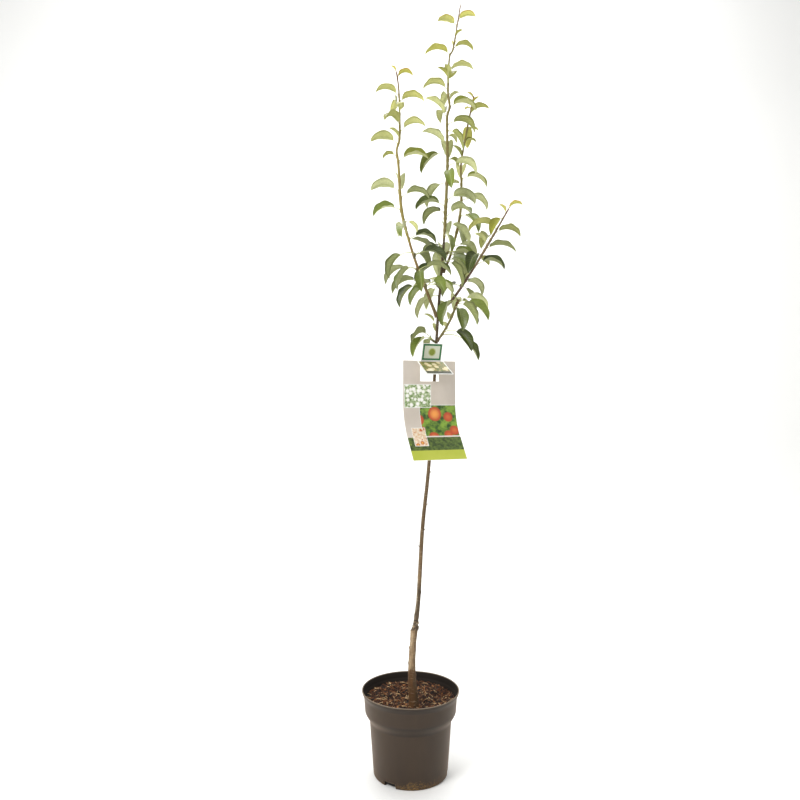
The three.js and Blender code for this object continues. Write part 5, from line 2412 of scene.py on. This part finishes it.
@dataclass
class Studio:
    """The camera at the photograph's angle, the floor and the lights, each by its place, width and power."""

    camera_place: Point = (-0.0217, -1.509, 0.766)
    lens: float = 32.94
    floor_half: float = 5000
    backdrop: float = 2600
    backdrop_top: float = 5200
    bend: float = 600
    aim: Point = (0.02, 0.0, 0.75)
    backdrop_aim: Point = (0, 2.6, 1.0)
    lights: tuple[tuple[str, Point, float, float], ...] = (
        ("key", (-2.0, -1.9, 2.7), 1.4, 90.0),
        ("fill", (2.2, -1.8, 1.4), 2.4, 9.0),
        ("top", (0.2, 0.6, 3.2), 2.2, 38.0),
        ("backdrop", (0.0, 1.0, 3.0), 2.5, 50.0),
    )
    sky: float = 0.42

    def build_camera(self) -> None:
        """Sets up the level camera."""
        data = bpy.data.cameras.new("camera")
        data.lens = self.lens
        data.sensor_width = 36.0
        data.clip_end = 50.0
        camera = add_object("camera", data)
        camera.location = self.camera_place
        camera.rotation_euler = (math.pi / 2, 0, 0)
        bpy.context.scene.camera = camera

    def build_floor(self, material: Material) -> None:
        """Builds a floor that bends up into a backdrop.

        Args:
            material: Its material.
        """
        half, bend, start = self.floor_half, self.bend, self.backdrop - self.bend
        turns = np.linspace(0, math.pi / 2, 24)
        curve = [(start + bend * math.sin(turn), bend * (1 - math.cos(turn))) for turn in turns]
        line = [(-half, 0.0), *curve, (self.backdrop, self.backdrop_top)]
        draft = MeshDraft("studio_floor")
        points = np.array([(x, y, z) for y, z in line for x in (-half, half)])
        draft.add(points, [face[::-1] for face in grid_faces(len(line), 2, False)])
        draft.build([material])

    def build_lights(self) -> None:
        """Hangs large soft lights round the tree and a pale sky."""
        scene = bpy.context.scene
        scene.view_settings.view_transform = "Standard"
        for name, spot, size, power in self.lights:
            data = bpy.data.lights.new(name, "AREA")
            data.shape = "SQUARE"
            data.size = size
            data.energy = power
            light = add_object(name, data)
            light.location = spot
            aim = Vector(self.backdrop_aim if name == "backdrop" else self.aim)
            light.rotation_euler = (aim - Vector(spot)).to_track_quat("-Z", "Y").to_euler()
        scene.world = scene.world or bpy.data.worlds.new("studio")
        scene.world.use_nodes = True
        sky = scene.world.node_tree.nodes["Background"]
        sky.inputs["Color"].default_value = (1, 1, 1, 1)
        sky.inputs["Strength"].default_value = self.sky


LABEL_FINISHES = {
    Print.CARD: GrainedFinish("label_card", "d6ccc0", "c9beb1"),
    Print.BLOSSOM: PictureFinish("label_blossom", ("5f7d3c", "c3d1a8"), ("ececdf", "fdfdf8"), 11.0),
    Print.FRUIT: PictureFinish("label_fruit", ("24491c", "86a83c"), ("b9442a", "f0a04c"), 3.0),
    Print.HARVEST: PictureFinish("label_harvest", ("d9b48a", "f0e2cc"), ("b8432c", "e8b050"), 9.0, 0.40),
    Print.BAND: PictureFinish("label_band", ("2f4219", "5f7430"), ("6f8438", "7d923f"), 6.0, 0.16),
    Print.FOOTER: GrainedFinish("label_footer", "b9c04a", "aeb83e"),
    Print.BACK: GrainedFinish("label_back", "e0dcd5", "d3cec6"),
    Print.BORDER: GrainedFinish("label_border", "f6f6f2", "ecece8"),
    Print.FRAME: GrainedFinish("label_frame", "2f7a45", "276b3c"),
    Print.BADGE: BadgeFinish(),
    Print.ORCHARD: PictureFinish("label_orchard", ("5d7a30", "a8925c"), ("e4d3a4", "f6efd6"), 7.0),
    Print.SHADOW: GrainedFinish("label_shadow", "4c4f3c", "34382b"),
}


def main() -> None:
    """Builds everything in order."""
    logging.basicConfig(level=logging.INFO, format="%(message)s", stream=sys.stdout)
    studio = Studio()
    studio.build_camera()
    effects = Effects()
    trunk = TrunkShape()
    label = HangLabel(trunk)
    growth = Growth(trunk, LeafRule(), label.clear_points())
    log.info("leaves: %d", sum(len(leaves) for leaves in growth.leaves.values()))

    bark = BarkFinish().material(effects)
    wood = Wood(trunk, growth)
    wood.build_trunk(bark)
    wood.build_boughs(bark)

    twig = TwigFinish().material(effects)
    leaf_finishes = (
        LeafFinish("leaf_upper", "3d4919", "79873a", "b6ae32", "98a456", "dc9a35", 0.38, 0.00025),
        LeafFinish("leaf_under", "858c55", "c5c993", "cdc85a", "ccd4a0", "dfae55", 0.58, 0.00035),
        StalkFinish(),
    )
    leaf_materials = [finish.material(effects) for finish in leaf_finishes]
    foliage = Foliage(growth)
    for plan in SHOOTS + SPURS:
        foliage.build_twig(plan, twig)
        foliage.build_leaves(plan, leaf_materials)
    route = growth.routes["trunk"]
    trunk_buds = []
    for height, side in TRUNK_BUDS:
        out = np.array([side, -0.2, 0.0])
        trunk_buds.append((route.at(route.length_at_height(height)) + out * trunk.radius_at(height), out))
    bud = GrainedFinish("bud", "8a6a42", "46301c", 700.0, 2600.0, 0.55, 0.15, 0.0003, 0.8)
    foliage.build_buds(bud.material(effects), trunk_buds)

    pot = NurseryPot()
    outside = PotFinish("pot_outside", "302317", "3d2f21", rough=0.55, gloss=0.35, haze=0.34)
    # The inside's plastic is darker than the outside's: painted shade inside the pot.
    inside = PotFinish("pot_inside", "26211d", "2e2823", rough=0.8, gloss=0.12, haze=0.0)
    pot.build(outside.material(effects), inside.material(effects))
    Compost(pot).build(
        CompostFinish("compost_bed", "090402", "1a0e07", "301d0f", False).material(effects),
        CompostFinish("bark_chip", "0a0502", "4c280d", "a06a3c", True).material(effects),
        CompostFinish("coir_fibre", "1c0e05", "6b3c18", "dcb988", True).material(effects),
    )
    strap = GrainedFinish("label_strap", "3a332c", "28221d")
    label.build([LABEL_FINISHES[printed_place].material(effects) for printed_place in Print],
                strap.material(effects))

    studio.build_floor(StudioFinish().material(effects))
    studio.build_lights()


if __name__ == "__main__":
    main()
